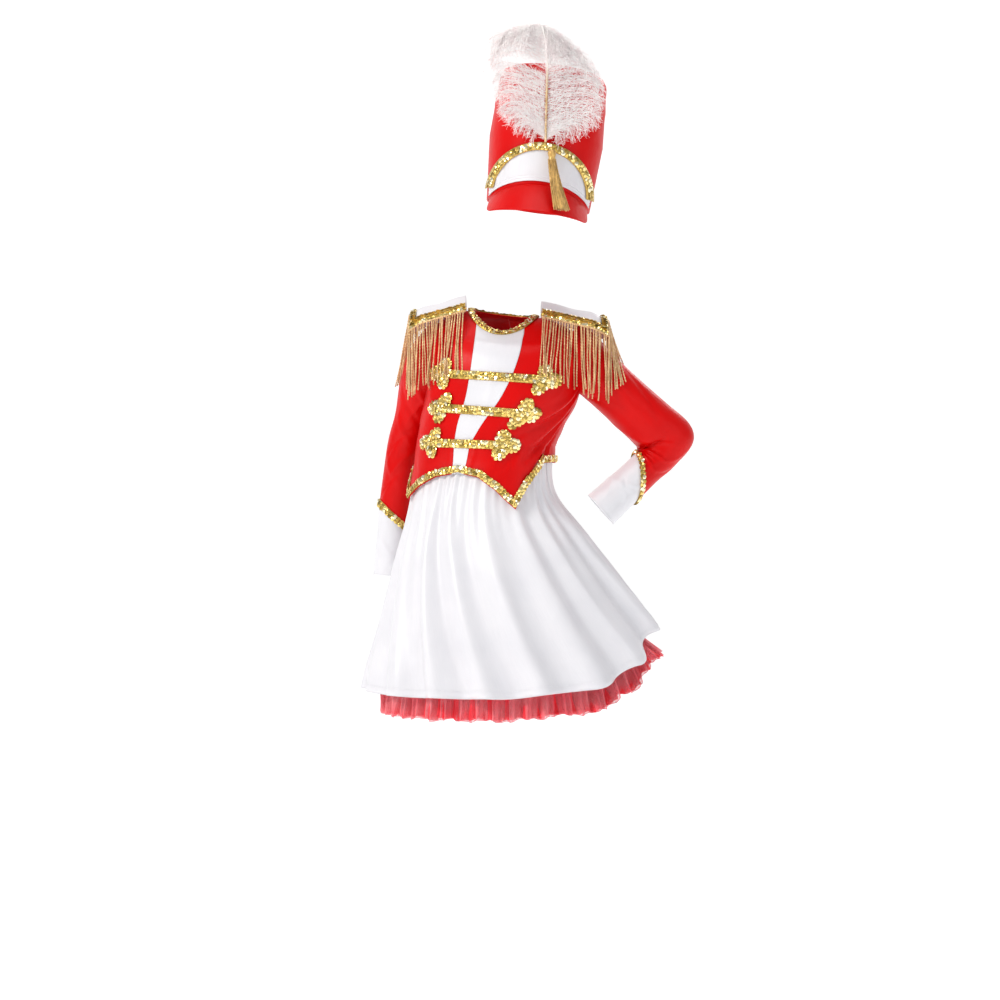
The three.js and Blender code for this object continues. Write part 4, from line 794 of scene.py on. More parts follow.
def skirt_lift(angle, fall, settings):
    gather = settings.gather_depth / MM * (1 - soft_step(fall, *GATHER_END))
    flute = settings.flute_depth / MM * soft_step(fall, *FLUTE_RISE) * FLUTE_SWELL
    fine = gather * (gather_wave(angle + GATHER_SLANT * fall, settings.gather_count) - 1)
    middle = FOLDS["height"] * soft_step(fall, *FOLDS["start"]) * (1 - soft_step(fall, *FOLDS["ease"]) / 2)
    fold = gather_wave(angle + FOLDS["turn"] + FOLDS["slant"] * fall, FOLDS["count"])
    small = RIPPLES["height"] * soft_step(fall, *RIPPLES["start"])
    ripple = small * gather_wave(angle + RIPPLES["turn"], RIPPLES["count"])
    folds = middle * (fold - FOLDS["middle"])
    return fine + flute * (flute_wave(angle) - 1) + folds + ripple - waist_tuck(fall)


def petticoat_lift(angle, fall, layer):
    gather = RUFFLE_GATHER * (1 - soft_step(fall, *GATHER_FADE))
    flute = RUFFLE_FLUTE * soft_step(fall, *FLUTE_RISE) * FLUTE_SWELL
    turn = np.radians(angle)
    drift = sum(height * np.sin(count * turn + layer * (i + 1))
                for i, (count, height) in enumerate(RUFFLE_DRIFT))
    (broad, broad_height), (fine, fine_height) = RUFFLE_WAVES
    ruffle = broad_height * np.cos(broad * turn + drift)
    ruffle = ruffle + fine_height * np.cos(fine * turn + 2 * drift + layer)
    sink = RUFFLE_SINK + RUFFLE_LAYER_GAP * layer
    swing = soft_step(fall, *RUFFLE_START) * (ruffle - RUFFLE_MIDDLE)
    return swing - 2 * (gather + flute) - waist_tuck(fall) - sink


# Meshes
def quads(rows, columns, wraps, offset=0, flip=False):
    spans = columns if wraps else columns - 1
    r, c = np.meshgrid(np.arange(rows - 1), np.arange(spans), indexing="ij")
    after = (c + 1) % columns
    corners = [r * columns + c, r * columns + after, (r + 1) * columns + after, (r + 1) * columns + c]
    if flip:
        corners.reverse()
    return np.stack(corners, axis=-1).reshape(-1, 4) + offset


def link_object(name, data):
    obj = bpy.data.objects.new(name, data)
    bpy.context.collection.objects.link(obj)
    return obj


def mesh_object(name, points, faces, material, smooth=True, uvs=None):
    """A mesh object from points in millimetres and quads."""
    mesh = bpy.data.meshes.new(name)
    mesh.from_pydata((np.asarray(points).reshape(-1, 3) * MM).tolist(), [], np.asarray(faces).tolist())
    if uvs is not None:
        layer = mesh.uv_layers.new(name="cut")
        layer.data.foreach_set("uv", np.asarray(uvs, dtype=np.float32).reshape(-1))
    if smooth:
        mesh.shade_smooth()
    mesh.validate()
    obj = link_object(name, mesh)
    mesh.materials.append(material)
    return obj


def signed_volume(points, faces):
    a, b, c, d = (points[faces[:, i]] for i in range(4))
    first = np.einsum("ij,ij->i", a, np.cross(b, c)).sum()
    return first + np.einsum("ij,ij->i", a, np.cross(c, d)).sum()


def grid_normals(grid, wraps):
    if wraps:
        along = np.roll(grid, -1, axis=1) - np.roll(grid, 1, axis=1)
    else:
        along = np.gradient(grid, axis=1)
    up = np.gradient(grid, axis=0)
    normal = np.cross(along, up)
    return normal / np.maximum(np.linalg.norm(normal, axis=-1, keepdims=True), TINY)


def along_line(at, run, points):
    """Places on a line whose points lie at the distances in run."""
    return np.stack([np.interp(at, run, points[:, i]) for i in range(3)], axis=-1)


def close_shell(outer, inner, wraps):
    """Points and outward quads of a closed wall between two grids of the same size."""
    rows, columns = outer.shape[:2]
    count = rows * columns
    points = np.concatenate([outer.reshape(-1, 3), inner.reshape(-1, 3)])
    faces = [quads(rows, columns, wraps), quads(rows, columns, wraps, count, True)]
    spans = np.arange(columns if wraps else columns - 1)
    for line, turned in ((0, True), ((rows - 1) * columns, False)):
        here = line + spans
        after = line + (spans + 1) % columns
        strip = [here, after, after + count, here + count]
        faces.append(np.stack(strip[::-1] if turned else strip, axis=-1))
    if not wraps:
        for column, turned in ((0, False), (columns - 1, True)):
            here = np.arange(rows - 1) * columns + column
            strip = [here, here + columns, here + columns + count, here + count]
            faces.append(np.stack(strip[::-1] if turned else strip, axis=-1))
    faces = np.concatenate(faces)
    if signed_volume(points, faces) < 0:
        faces = faces[:, ::-1]
    return points, faces


def cloth_shell(name, grid, wraps, wall, material, hub=None):
    """A thin closed shell of cloth whose outer face is the grid. The wall goes towards the hub."""
    rows, columns = grid.shape[:2]
    normal = grid_normals(grid, wraps)
    centre = grid.mean(axis=1, keepdims=True) if hub is None else np.asarray(hub, dtype=float)
    outward = np.sign(np.mean(np.einsum("rci,rci->rc", grid - centre, normal)))
    points, faces = close_shell(grid, grid - normal * outward * wall, wraps)
    steps_u = np.linalg.norm(np.diff(grid, axis=1), axis=-1).mean(axis=0)
    steps_v = np.linalg.norm(np.diff(grid, axis=0), axis=-1).mean(axis=1)
    run_u = np.concatenate([[0], np.cumsum(steps_u)])
    run_v = np.concatenate([[0], np.cumsum(steps_v)])
    index = faces % (rows * columns)
    column = index % columns
    row = index // columns
    u = run_u[column]
    if wraps:
        seam = (column.max(axis=1) == columns - 1) & (column.min(axis=1) == 0)
        wrapped = run_u[-1] * columns / (columns - 1)
        u = np.where(seam[:, None] & (column == 0), wrapped, u)
    uvs = np.stack([u, run_v[row]], axis=-1) / UV_UNIT
    return mesh_object(name, points, faces, material, uvs=uvs)


def loft_solid(name, rings):
    """A closed solid through rings of equal length, for cutting."""
    rows, columns = rings.shape[:2]
    points = rings.reshape(-1, 3)
    faces = quads(rows, columns, True).tolist()
    faces.append(list(range(columns))[::-1])
    faces.append(list(range((rows - 1) * columns, rows * columns)))
    mesh = bpy.data.meshes.new(name)
    mesh.from_pydata((points * MM).tolist(), [], faces)
    obj = link_object(name, mesh)
    if signed_volume(points, quads(rows, columns, True)) < 0:
        mesh.flip_normals()
    return obj


def smooth_solid(name, rings, material):
    obj = loft_solid(name, rings)
    obj.data.materials.append(material)
    obj.data.shade_smooth()
    return obj


def evaluated_mesh(obj):
    graph = bpy.context.evaluated_depsgraph_get()
    graph.update()
    return bpy.data.meshes.new_from_object(obj.evaluated_get(graph), depsgraph=graph)


def bake_modifiers(obj):
    mesh = evaluated_mesh(obj)
    old = obj.data
    obj.modifiers.clear()
    obj.data = mesh
    bpy.data.meshes.remove(old)
    return obj


def cloth_piece(node, name, grid, wraps, wall, colour, slot, hub=None, cutters=()):
    """A shell of cloth that replaces a node."""
    piece = cloth_shell(name, grid, wraps, wall / MM, MATERIALS[colour], hub)
    if cutters:
        cut_away(piece, cutters)
    finish_piece(piece, [node], slot)
    declare_cloth(node)


def cut_away(obj, cutters):
    """Cuts the solids away from a cloth shell and leaves a clean edge."""
    for cutter in cutters:
        modifier = obj.modifiers.new("cut", "BOOLEAN")
        modifier.operation = "DIFFERENCE"
        modifier.solver = "EXACT"
        modifier.object = cutter
    bake_modifiers(obj)
    obj.data.shade_smooth()
    obj.data.set_sharp_from_angle(angle=math.radians(SHARP_ANGLE))
    return obj


def dispose(*objects):
    for obj in objects:
        mesh = obj.data
        bpy.data.objects.remove(obj)
        bpy.data.meshes.remove(mesh)


def finish_piece(obj, nodes, slot):
    """Ties a finished piece to the frame."""
    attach(obj, BODY)
    if nodes:
        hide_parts(*nodes)
    return obj


# Node trees
def link_nodes(tree, pairs):
    for source, target in pairs:
        tree.links.new(source, target)


def new_geometry_tree(name, inputs):
    tree = bpy.data.node_groups.new(name, "GeometryNodeTree")
    tree.interface.new_socket("Geometry", in_out="INPUT", socket_type="NodeSocketGeometry")
    for label, kind, default in inputs:
        socket = tree.interface.new_socket(label, in_out="INPUT", socket_type=kind)
        if default is not None:
            socket.default_value = default
    tree.interface.new_socket("Geometry", in_out="OUTPUT", socket_type="NodeSocketGeometry")
    return tree


def grow(obj, tree, values):
    """Runs a node tree on an object and keeps the result as a plain mesh."""
    modifier = obj.modifiers.new(tree.name, "NODES")
    modifier.node_group = tree
    for item in tree.interface.items_tree:
        if item.in_out == "INPUT" and item.name in values:
            modifier[item.identifier] = values[item.name]
    bake_modifiers(obj)
    return obj


def finish_tree(tree, geometry, material):
    """Ends a tree in Realize Instances and Set Material."""
    realize = tree.nodes.new("GeometryNodeRealizeInstances")
    paint = tree.nodes.new("GeometryNodeSetMaterial")
    out = tree.nodes.new("NodeGroupOutput")
    link_nodes(tree, (
        (geometry, realize.inputs["Geometry"]),
        (realize.outputs["Geometry"], paint.inputs["Geometry"]),
        (material, paint.inputs["Material"]),
        (paint.outputs["Geometry"], out.inputs[0]),
    ))


def random_node(tree, kind, low, high, seed):
    node = tree.nodes.new("FunctionNodeRandomValue")
    node.data_type = kind
    numbers = [s for s in node.inputs if s.enabled and s.name in ("Min", "Max")]
    numbers[0].default_value = low
    numbers[1].default_value = high
    tree.links.new(seed, node.inputs["Seed"])
    return node


def random_output(node):
    return next(socket for socket in node.outputs if socket.enabled)


def named_attribute(tree, name, kind):
    node = tree.nodes.new("GeometryNodeInputNamedAttribute")
    node.data_type = kind
    node.inputs["Name"].default_value = name
    return node.outputs["Attribute"]


def float_inputs(sizes):
    return tuple((label, "NodeSocketFloat", value) for label, value in sizes.items())


def instancing_tree(name, extra):
    """Discs or stitches that sit on points, turned by the attributes up and along."""
    tree = new_geometry_tree(name, extra + (
        ("Tilt", "NodeSocketFloat", LOOSE_TILT), ("Seed", "NodeSocketInt", 1),
        ("Material", "NodeSocketMaterial", None)))
    given = tree.nodes.new("NodeGroupInput")
    # A random tone for each instance; the sequin material turns it into varied gold and painted glints and
    # dark reflections
    tone = random_node(tree, "FLOAT", 0.0, 1.0, given.outputs["Seed"])
    store = tree.nodes.new("GeometryNodeStoreNamedAttribute")
    store.data_type = "FLOAT"
    store.domain = "POINT"
    store.inputs["Name"].default_value = "tone"
    upright = tree.nodes.new("FunctionNodeAlignRotationToVector")
    upright.axis = "Z"
    facing = tree.nodes.new("FunctionNodeAlignRotationToVector")
    facing.axis = "X"
    facing.pivot_axis = "Z"
    spin = random_node(tree, "FLOAT_VECTOR", *ALL_WAYS, given.outputs["Seed"])
    scale = tree.nodes.new("ShaderNodeVectorMath")
    scale.operation = "SCALE"
    tilt = tree.nodes.new("FunctionNodeEulerToRotation")
    turn = tree.nodes.new("FunctionNodeRotateRotation")
    turn.rotation_space = "LOCAL"
    place = tree.nodes.new("GeometryNodeInstanceOnPoints")
    value = next(s for s in store.inputs if s.enabled and s.name == "Value")
    link_nodes(tree, (
        (given.outputs["Geometry"], store.inputs["Geometry"]),
        (random_output(tone), value),
        (named_attribute(tree, "up", "FLOAT_VECTOR"), upright.inputs["Vector"]),
        (upright.outputs["Rotation"], facing.inputs["Rotation"]),
        (named_attribute(tree, "along", "FLOAT_VECTOR"), facing.inputs["Vector"]),
        (random_output(spin), scale.inputs[0]),
        (given.outputs["Tilt"], scale.inputs["Scale"]),
        (scale.outputs["Vector"], tilt.inputs["Euler"]),
        (facing.outputs["Rotation"], turn.inputs["Rotation"]),
        (tilt.outputs["Rotation"], turn.inputs["Rotate By"]),
        (store.outputs["Geometry"], place.inputs["Points"]),
        (turn.outputs["Rotation"], place.inputs["Rotation"]),
    ))
    return tree, given, place


def sequin_tree():
    tree, given, place = instancing_tree("sequins", float_inputs(SEQUIN_SIZES))
    disc = tree.nodes.new("GeometryNodeMeshCone")
    disc.inputs["Vertices"].default_value = SEQUIN_CORNERS
    shrink = tree.nodes.new("ShaderNodeMath")
    shrink.operation = "MULTIPLY"
    shrink.inputs[1].default_value = SEQUIN_FLAT
    link_nodes(tree, (
        (given.outputs["Sequin radius"], disc.inputs["Radius Bottom"]),
        (given.outputs["Sequin radius"], shrink.inputs[0]),
        (shrink.outputs[0], disc.inputs["Radius Top"]),
        (given.outputs["Cup depth"], disc.inputs["Depth"]),
        (disc.outputs["Mesh"], place.inputs["Instance"]),
    ))
    finish_tree(tree, place.outputs["Instances"], given.outputs["Material"])
    return tree


def stitch_tree():
    tree, given, place = instancing_tree("stitches", float_inputs(STITCH_SIZES))
    thread = tree.nodes.new("GeometryNodeMeshCylinder")
    thread.inputs["Vertices"].default_value = THREAD_SIDES
    lay = tree.nodes.new("GeometryNodeTransform")
    lay.inputs["Rotation"].default_value = (0, math.pi / 2, 0)
    link_nodes(tree, (
        (given.outputs["Stitch length"], thread.inputs["Depth"]),
        (given.outputs["Thread radius"], thread.inputs["Radius"]),
        (thread.outputs["Mesh"], lay.inputs["Geometry"]),
        (lay.outputs["Geometry"], place.inputs["Instance"]),
    ))
    finish_tree(tree, place.outputs["Instances"], given.outputs["Material"])
    return tree


def strand_curve(tree, given):
    curve = tree.nodes.new("GeometryNodeMeshToCurve")
    girth = tree.nodes.new("GeometryNodeSetCurveRadius")
    link_nodes(tree, (
        (given.outputs["Geometry"], curve.inputs["Mesh"]),
        (curve.outputs["Curve"], girth.inputs["Curve"]),
        (named_attribute(tree, "girth", "FLOAT"), girth.inputs["Radius"]),
    ))
    return girth.outputs["Curve"]


def strand_mesh(tree, curve, radius, flatness, sides):
    profile = tree.nodes.new("GeometryNodeCurvePrimitiveCircle")
    profile.inputs["Resolution"].default_value = sides
    squeeze = tree.nodes.new("GeometryNodeTransform")
    join = tree.nodes.new("ShaderNodeCombineXYZ")
    join.inputs["X"].default_value = 1.0
    join.inputs["Z"].default_value = 1.0
    solid = tree.nodes.new("GeometryNodeCurveToMesh")
    solid.inputs["Fill Caps"].default_value = True
    link_nodes(tree, (
        (radius, profile.inputs["Radius"]),
        (flatness, join.inputs["Y"]),
        (profile.outputs["Curve"], squeeze.inputs["Geometry"]),
        (join.outputs["Vector"], squeeze.inputs["Scale"]),
        (curve, solid.inputs["Curve"]),
        (squeeze.outputs["Geometry"], solid.inputs["Profile Curve"]),
    ))
    return solid.outputs["Mesh"]


def strand_tree():
    """Twisted bullion strands along guide lines."""
    tree = new_geometry_tree("bullion_strands", float_inputs(STRAND_SIZES) + (
        ("Material", "NodeSocketMaterial", None),))
    given = tree.nodes.new("NodeGroupInput")
    curve = strand_curve(tree, given)
    along = tree.nodes.new("GeometryNodeSplineParameter")
    turns = tree.nodes.new("ShaderNodeMath")
    turns.operation = "MULTIPLY"
    radians = tree.nodes.new("ShaderNodeMath")
    radians.operation = "MULTIPLY"
    radians.inputs[1].default_value = 2 * math.pi
    twist = tree.nodes.new("GeometryNodeSetCurveTilt")
    link_nodes(tree, (
        (along.outputs["Length"], turns.inputs[0]),
        (given.outputs["Turns per metre"], turns.inputs[1]),
        (turns.outputs[0], radians.inputs[0]),
        (curve, twist.inputs["Curve"]),
        (radians.outputs[0], twist.inputs["Tilt"]),
    ))
    mesh = strand_mesh(tree, twist.outputs["Curve"], given.outputs["Strand radius"],
                       given.outputs["Flatness"], STRAND_SIDES)
    finish_tree(tree, mesh, given.outputs["Material"])
    return tree


def plume_tree():
    """Barbs along guide lines, each with loose barbules all along it."""
    tree = new_geometry_tree("plume_barbs", float_inputs(BARB_SIZES) + (
        ("Seed", "NodeSocketInt", 1), ("Material", "NodeSocketMaterial", None)))
    given = tree.nodes.new("NodeGroupInput")
    curve = strand_curve(tree, given)
    barbs = strand_mesh(tree, curve, given.outputs["Barb radius"], given.outputs["Flatness"], BARB_SIDES)
    points = tree.nodes.new("GeometryNodeCurveToPoints")
    points.mode = "LENGTH"
    blade = tree.nodes.new("GeometryNodeMeshGrid")
    blade.inputs["Vertices X"].default_value = 2
    blade.inputs["Vertices Y"].default_value = 2
    half = tree.nodes.new("ShaderNodeMath")
    half.operation = "MULTIPLY"
    half.inputs[1].default_value = 1 / 2
    foot = tree.nodes.new("ShaderNodeCombineXYZ")
    stand = tree.nodes.new("GeometryNodeTransform")
    stand.inputs["Rotation"].default_value = (math.pi / 2, 0, 0)
    loose = random_node(tree, "FLOAT_VECTOR", *ALL_WAYS, given.outputs["Seed"])
    scale = tree.nodes.new("ShaderNodeVectorMath")
    scale.operation = "SCALE"
    lean = tree.nodes.new("ShaderNodeVectorMath")
    aim = tree.nodes.new("FunctionNodeAlignRotationToVector")
    aim.axis = "Z"
    size = random_node(tree, "FLOAT", *BARBULE_SCALE, given.outputs["Seed"])
    place = tree.nodes.new("GeometryNodeInstanceOnPoints")
    both = tree.nodes.new("GeometryNodeJoinGeometry")
    link_nodes(tree, (
        (curve, points.inputs["Curve"]),
        (given.outputs["Barbule step"], points.inputs["Length"]),
        (given.outputs["Barbule width"], blade.inputs["Size X"]),
        (given.outputs["Barbule length"], blade.inputs["Size Y"]),
        (given.outputs["Barbule length"], half.inputs[0]),
        (half.outputs[0], foot.inputs["Z"]),
        (foot.outputs["Vector"], stand.inputs["Translation"]),
        (blade.outputs["Mesh"], stand.inputs["Geometry"]),
        (random_output(loose), scale.inputs[0]),
        (given.outputs["Spread"], scale.inputs["Scale"]),
        (points.outputs["Tangent"], lean.inputs[0]),
        (scale.outputs["Vector"], lean.inputs[1]),
        (lean.outputs["Vector"], aim.inputs["Vector"]),
        (points.outputs["Points"], place.inputs["Points"]),
        (stand.outputs["Geometry"], place.inputs["Instance"]),
        (aim.outputs["Rotation"], place.inputs["Rotation"]),
        (random_output(size), place.inputs["Scale"]),
        (barbs, both.inputs["Geometry"]),
        (place.outputs["Instances"], both.inputs["Geometry"]),
    ))
    finish_tree(tree, both.outputs["Geometry"], given.outputs["Material"])
    return tree


def points_object(name, points, attributes):
    """Loose points in millimetres with vector attributes, for a tree to grow on."""
    mesh = bpy.data.meshes.new(name)
    mesh.from_pydata((np.asarray(points) * MM).tolist(), [], [])
    for key, values in attributes.items():
        layer = mesh.attributes.new(key, "FLOAT_VECTOR", "POINT")
        layer.data.foreach_set("vector", np.asarray(values, dtype=np.float32).reshape(-1))
    obj = link_object(name, mesh)
    return obj


def lines_object(name, lines, girths):
    """Guide lines in millimetres as chains of edges, each point with its girth."""
    points = np.concatenate(lines) * MM
    edges = []
    start = 0
    for line in lines:
        edges += [(start + i, start + i + 1) for i in range(len(line) - 1)]
        start += len(line)
    mesh = bpy.data.meshes.new(name)
    mesh.from_pydata(points.tolist(), edges, [])
    layer = mesh.attributes.new("girth", "FLOAT", "POINT")
    layer.data.foreach_set("value", np.concatenate(girths).astype(np.float32))
    obj = link_object(name, mesh)
    return obj


# Materials
def shader_group(name, inputs, outputs):
    group = bpy.data.node_groups.new(name, "ShaderNodeTree")
    for label, kind, default in inputs:
        socket = group.interface.new_socket(label, in_out="INPUT", socket_type=kind)
        socket.default_value = default
    for label, kind in outputs:
        group.interface.new_socket(label, in_out="OUTPUT", socket_type=kind)
    return group, group.nodes.new("NodeGroupInput"), group.nodes.new("NodeGroupOutput")


def noise(group, vector, scale, detail, roughness=0.5):
    node = group.nodes.new("ShaderNodeTexNoise")
    node.inputs["Scale"].default_value = scale
    node.inputs["Detail"].default_value = detail
    node.inputs["Roughness"].default_value = roughness
    group.links.new(vector, node.inputs["Vector"])
    return node.outputs["Fac"]


def stretch(group, vector, scale):
    node = group.nodes.new("ShaderNodeMapping")
    node.inputs["Scale"].default_value = scale
    group.links.new(vector, node.inputs["Vector"])
    return node.outputs["Vector"]


def blend_colour(tree, share, first, second):
    """A mix of two colours. Each is a socket or a plain colour."""
    node = tree.nodes.new("ShaderNodeMix")
    node.data_type = "RGBA"
    sockets = [s for s in node.inputs if s.enabled and s.name in ("A", "B")]
    for socket, value in zip(sockets, (first, second)):
        if isinstance(value, tuple):
            socket.default_value = (*value, 1)
        else:
            tree.links.new(value, socket)
    tree.links.new(share, node.inputs["Factor"])
    return next(s for s in node.outputs if s.enabled)


def remap(tree, value, span, goal):
    """Maps a value from the span to the goal, each a low and a high end."""
    node = tree.nodes.new("ShaderNodeMapRange")
    ends = zip(("From Min", "From Max", "To Min", "To Max"), (*span, *goal))
    for label, end in ends:
        node.inputs[label].default_value = end
    tree.links.new(value, node.inputs["Value"])
    return node.outputs["Result"]


def add_values(tree, first, second, weight):
    node = tree.nodes.new("ShaderNodeMath")
    node.operation = "MULTIPLY_ADD"
    node.inputs[1].default_value = weight
    tree.links.new(second, node.inputs[0])
    tree.links.new(first, node.inputs[2])
    return node.outputs[0]


def satin_group():
    """Woven satin: long slubs along the thread, soft crinkles and uneven lustre."""
    group, given, out = shader_group(
        "satin_weave",
        (("Colour", "NodeSocketColor", (1, 1, 1, 1)), ("Shade", "NodeSocketColor", (*WHITE_SHADE, 1)),
         ("Lustre", "NodeSocketFloat", WHITE_FINISH["lustre"])),
        (("Colour", "NodeSocketColor"), ("Roughness", "NodeSocketFloat"), ("Height", "NodeSocketFloat")))
    place = group.nodes.new("ShaderNodeTexCoord")
    slub = noise(group, stretch(group, place.outputs["UV"], SLUB_STRETCH), 1.0, 2.0)
    thread = noise(group, stretch(group, place.outputs["UV"], THREAD_STRETCH), 1.0, 1.0)
    crinkle = noise(group, place.outputs["Object"], CRINKLE_SCALE, 2.0, CRINKLE_ROUGHNESS)
    patch = noise(group, place.outputs["Object"], PATCH_SCALE, 2.0)
    colour = blend_colour(group, remap(group, patch, PATCH_RANGE, PATCH_SHADE),
                          given.outputs["Colour"], given.outputs["Shade"])
    fine = blend_colour(group, remap(group, slub, SLUB_RANGE, SLUB_SHADE), colour, given.outputs["Shade"])
    lustre = add_values(group, given.outputs["Lustre"], remap(group, slub, MOST, CENTRED), SLUB_LUSTRE)
    height = add_values(group, add_values(group, crinkle, slub, SLUB_HEIGHT), thread, THREAD_HEIGHT)
    link_nodes(group, (
        (fine, out.inputs["Colour"]),
        (lustre, out.inputs["Roughness"]),
        (height, out.inputs["Height"]),
    ))
    return group


def new_material(name):
    material = bpy.data.materials.new(name)
    material.use_nodes = True
    shader = material.node_tree.nodes["Principled BSDF"]
    return material, material.node_tree, shader


def bump(tree, shader, height, strength, distance):
    node = tree.nodes.new("ShaderNodeBump")
    node.inputs["Strength"].default_value = strength
    node.inputs["Distance"].default_value = distance
    tree.links.new(height, node.inputs["Height"])
    tree.links.new(node.outputs["Normal"], shader.inputs["Normal"])


def satin_material(name, group, colour, shade, finish):
    material, tree, shader = new_material(name)
    weave = tree.nodes.new("ShaderNodeGroup")
    weave.node_tree = group
    weave.inputs["Colour"].default_value = (*colour, 1)
    weave.inputs["Shade"].default_value = (*shade, 1)
    weave.inputs["Lustre"].default_value = finish["lustre"]
    link_nodes(tree, (
        (weave.outputs["Colour"], shader.inputs["Base Color"]),
        (weave.outputs["Roughness"], shader.inputs["Roughness"]),
    ))
    bump(tree, shader, weave.outputs["Height"], *SATIN_BUMP)
    shader.inputs["Sheen Weight"].default_value = finish["sheen"]
    shader.inputs["Sheen Roughness"].default_value = SATIN_SHEEN_SPREAD
    shader.inputs["Specular IOR Level"].default_value = finish["gloss"]
    shader.inputs["Anisotropic"].default_value = SATIN_GRAIN
    return material


def sequin_material():
    material, tree, shader = new_material("gold_sequins")
    tone = tree.nodes.new("ShaderNodeAttribute")
    tone.attribute_name = "tone"
    # Each sequin's random tone picks a colour from dark to bright: partly its own varied gold, partly painted
    # glints and dark reflections
    ramp = tree.nodes.new("ShaderNodeValToRGB")
    steps = ramp.color_ramp.elements
    first, *between, last = SEQUIN_TONES_AND_GLINTS
    for step, (position, colour) in zip(steps, (first, last)):
        step.position = position
        step.color = (*colour, 1)
    for position, colour in between:
        steps.new(position).color = (*colour, 1)
    link_nodes(tree, (
        (tone.outputs["Fac"], ramp.inputs["Fac"]),
        (ramp.outputs["Color"], shader.inputs["Base Color"]),
        (remap(tree, tone.outputs["Fac"], UNIT, SEQUIN_ROUGHNESS), shader.inputs["Roughness"]),
    ))
    shader.inputs["Metallic"].default_value = SEQUIN_METAL
    return material


def tape_material():
    material, tree, shader = new_material("gold_tape")
    place = tree.nodes.new("ShaderNodeTexCoord")
    grain = noise(tree, place.outputs["Object"], TAPE_SCALE, 2.0)
    colour = blend_colour(tree, remap(tree, grain, MIDDLE, UNIT), *TAPE_TONES)
    tree.links.new(colour, shader.inputs["Base Color"])
    tree.links.new(remap(tree, grain, MOST, TAPE_ROUGHNESS), shader.inputs["Roughness"])
    bump(tree, shader, grain, *TAPE_BUMP)
    shader.inputs["Metallic"].default_value = TAPE_METAL
    return material


def fringe_material(name, dark, light):
    material, tree, shader = new_material(name)
    place = tree.nodes.new("ShaderNodeTexCoord")
    streak = noise(tree, stretch(tree, place.outputs["Object"], STREAK_STRETCH), 1.0, 2.0)
    patch = noise(tree, place.outputs["Object"], STREAK_PATCH_SCALE, 2.0)
    both = add_values(tree, streak, patch, 1 / 2)
    colour = blend_colour(tree, remap(tree, both, STREAK_RANGE, UNIT), dark, light)
    tree.links.new(colour, shader.inputs["Base Color"])
    tree.links.new(remap(tree, streak, MOST, STREAK_ROUGHNESS), shader.inputs["Roughness"])
    bump(tree, shader, streak, *STREAK_BUMP)
    shader.inputs["Metallic"].default_value = STREAK_METAL
    shader.inputs["Sheen Weight"].default_value = STREAK_SHEEN
    return material


def tulle_material(name, colour, pale, cover):
    material, tree, shader = new_material(name)
    place = tree.nodes.new("ShaderNodeTexCoord")
    patch = noise(tree, place.outputs["Object"], NET_PATCH_SCALE, 2.0)
    net = noise(tree, stretch(tree, place.outputs["UV"], NET_STRETCH), 1.0, 1.0)
    edge = tree.nodes.new("ShaderNodeLayerWeight")
    edge.inputs["Blend"].default_value = NET_EDGE
    share = remap(tree, patch, NET_PATCH_RANGE, NET_PATCH_SHARE)
    tree.links.new(blend_colour(tree, share, colour, pale), shader.inputs["Base Color"])
    thick = remap(tree, edge.outputs["Facing"], UNIT, (cover, 1.0))
    alpha = add_values(tree, thick, remap(tree, net, MOST, CENTRED), NET_UNEVEN)
    limit = tree.nodes.new("ShaderNodeClamp")
    tree.links.new(alpha, limit.inputs["Value"])
    tree.links.new(limit.outputs["Result"], shader.inputs["Alpha"])
    tree.links.new(remap(tree, net, MOST, NET_ROUGHNESS), shader.inputs["Roughness"])
    bump(tree, shader, net, *NET_BUMP)
    shader.inputs["Sheen Weight"].default_value = NET_SHEEN
    return material


def plain_fibre_material(name, dark, light, finish):
    material, tree, shader = new_material(name)
    place = tree.nodes.new("ShaderNodeTexCoord")
    patch = noise(tree, place.outputs["Object"], finish["scale"], 3.0)
    colour = blend_colour(tree, remap(tree, patch, MIDDLE, UNIT), dark, light)
    tree.links.new(colour, shader.inputs["Base Color"])
    rough = (finish["roughness"] + FIBRE_ROUGHNESS_SPAN, finish["roughness"] - FIBRE_ROUGHNESS_SPAN)
    tree.links.new(remap(tree, patch, MOST, rough), shader.inputs["Roughness"])
    bump(tree, shader, patch, *FIBRE_BUMP)
    shader.inputs["Sheen Weight"].default_value = finish["sheen"]
    return material


def quill_material():
    """Tan at the foot and pale towards the tip."""
    material, tree, shader = new_material("plume_quill")
    place = tree.nodes.new("ShaderNodeTexCoord")
    split = tree.nodes.new("ShaderNodeSeparateXYZ")
    tree.links.new(place.outputs["Object"], split.inputs["Vector"])
    grain = noise(tree, place.outputs["Object"], QUILL_SCALE, 2.0)
    tan = blend_colour(tree, remap(tree, grain, MIDDLE, UNIT), *QUILL_TONES)
    pale = remap(tree, split.outputs["Z"], QUILL_PALE_HEIGHTS, UNIT)
    tree.links.new(blend_colour(tree, pale, tan, QUILL_PALE), shader.inputs["Base Color"])
    tree.links.new(remap(tree, grain, MOST, QUILL_ROUGHNESS), shader.inputs["Roughness"])
    return material


MATERIALS = {}
TREES = {}


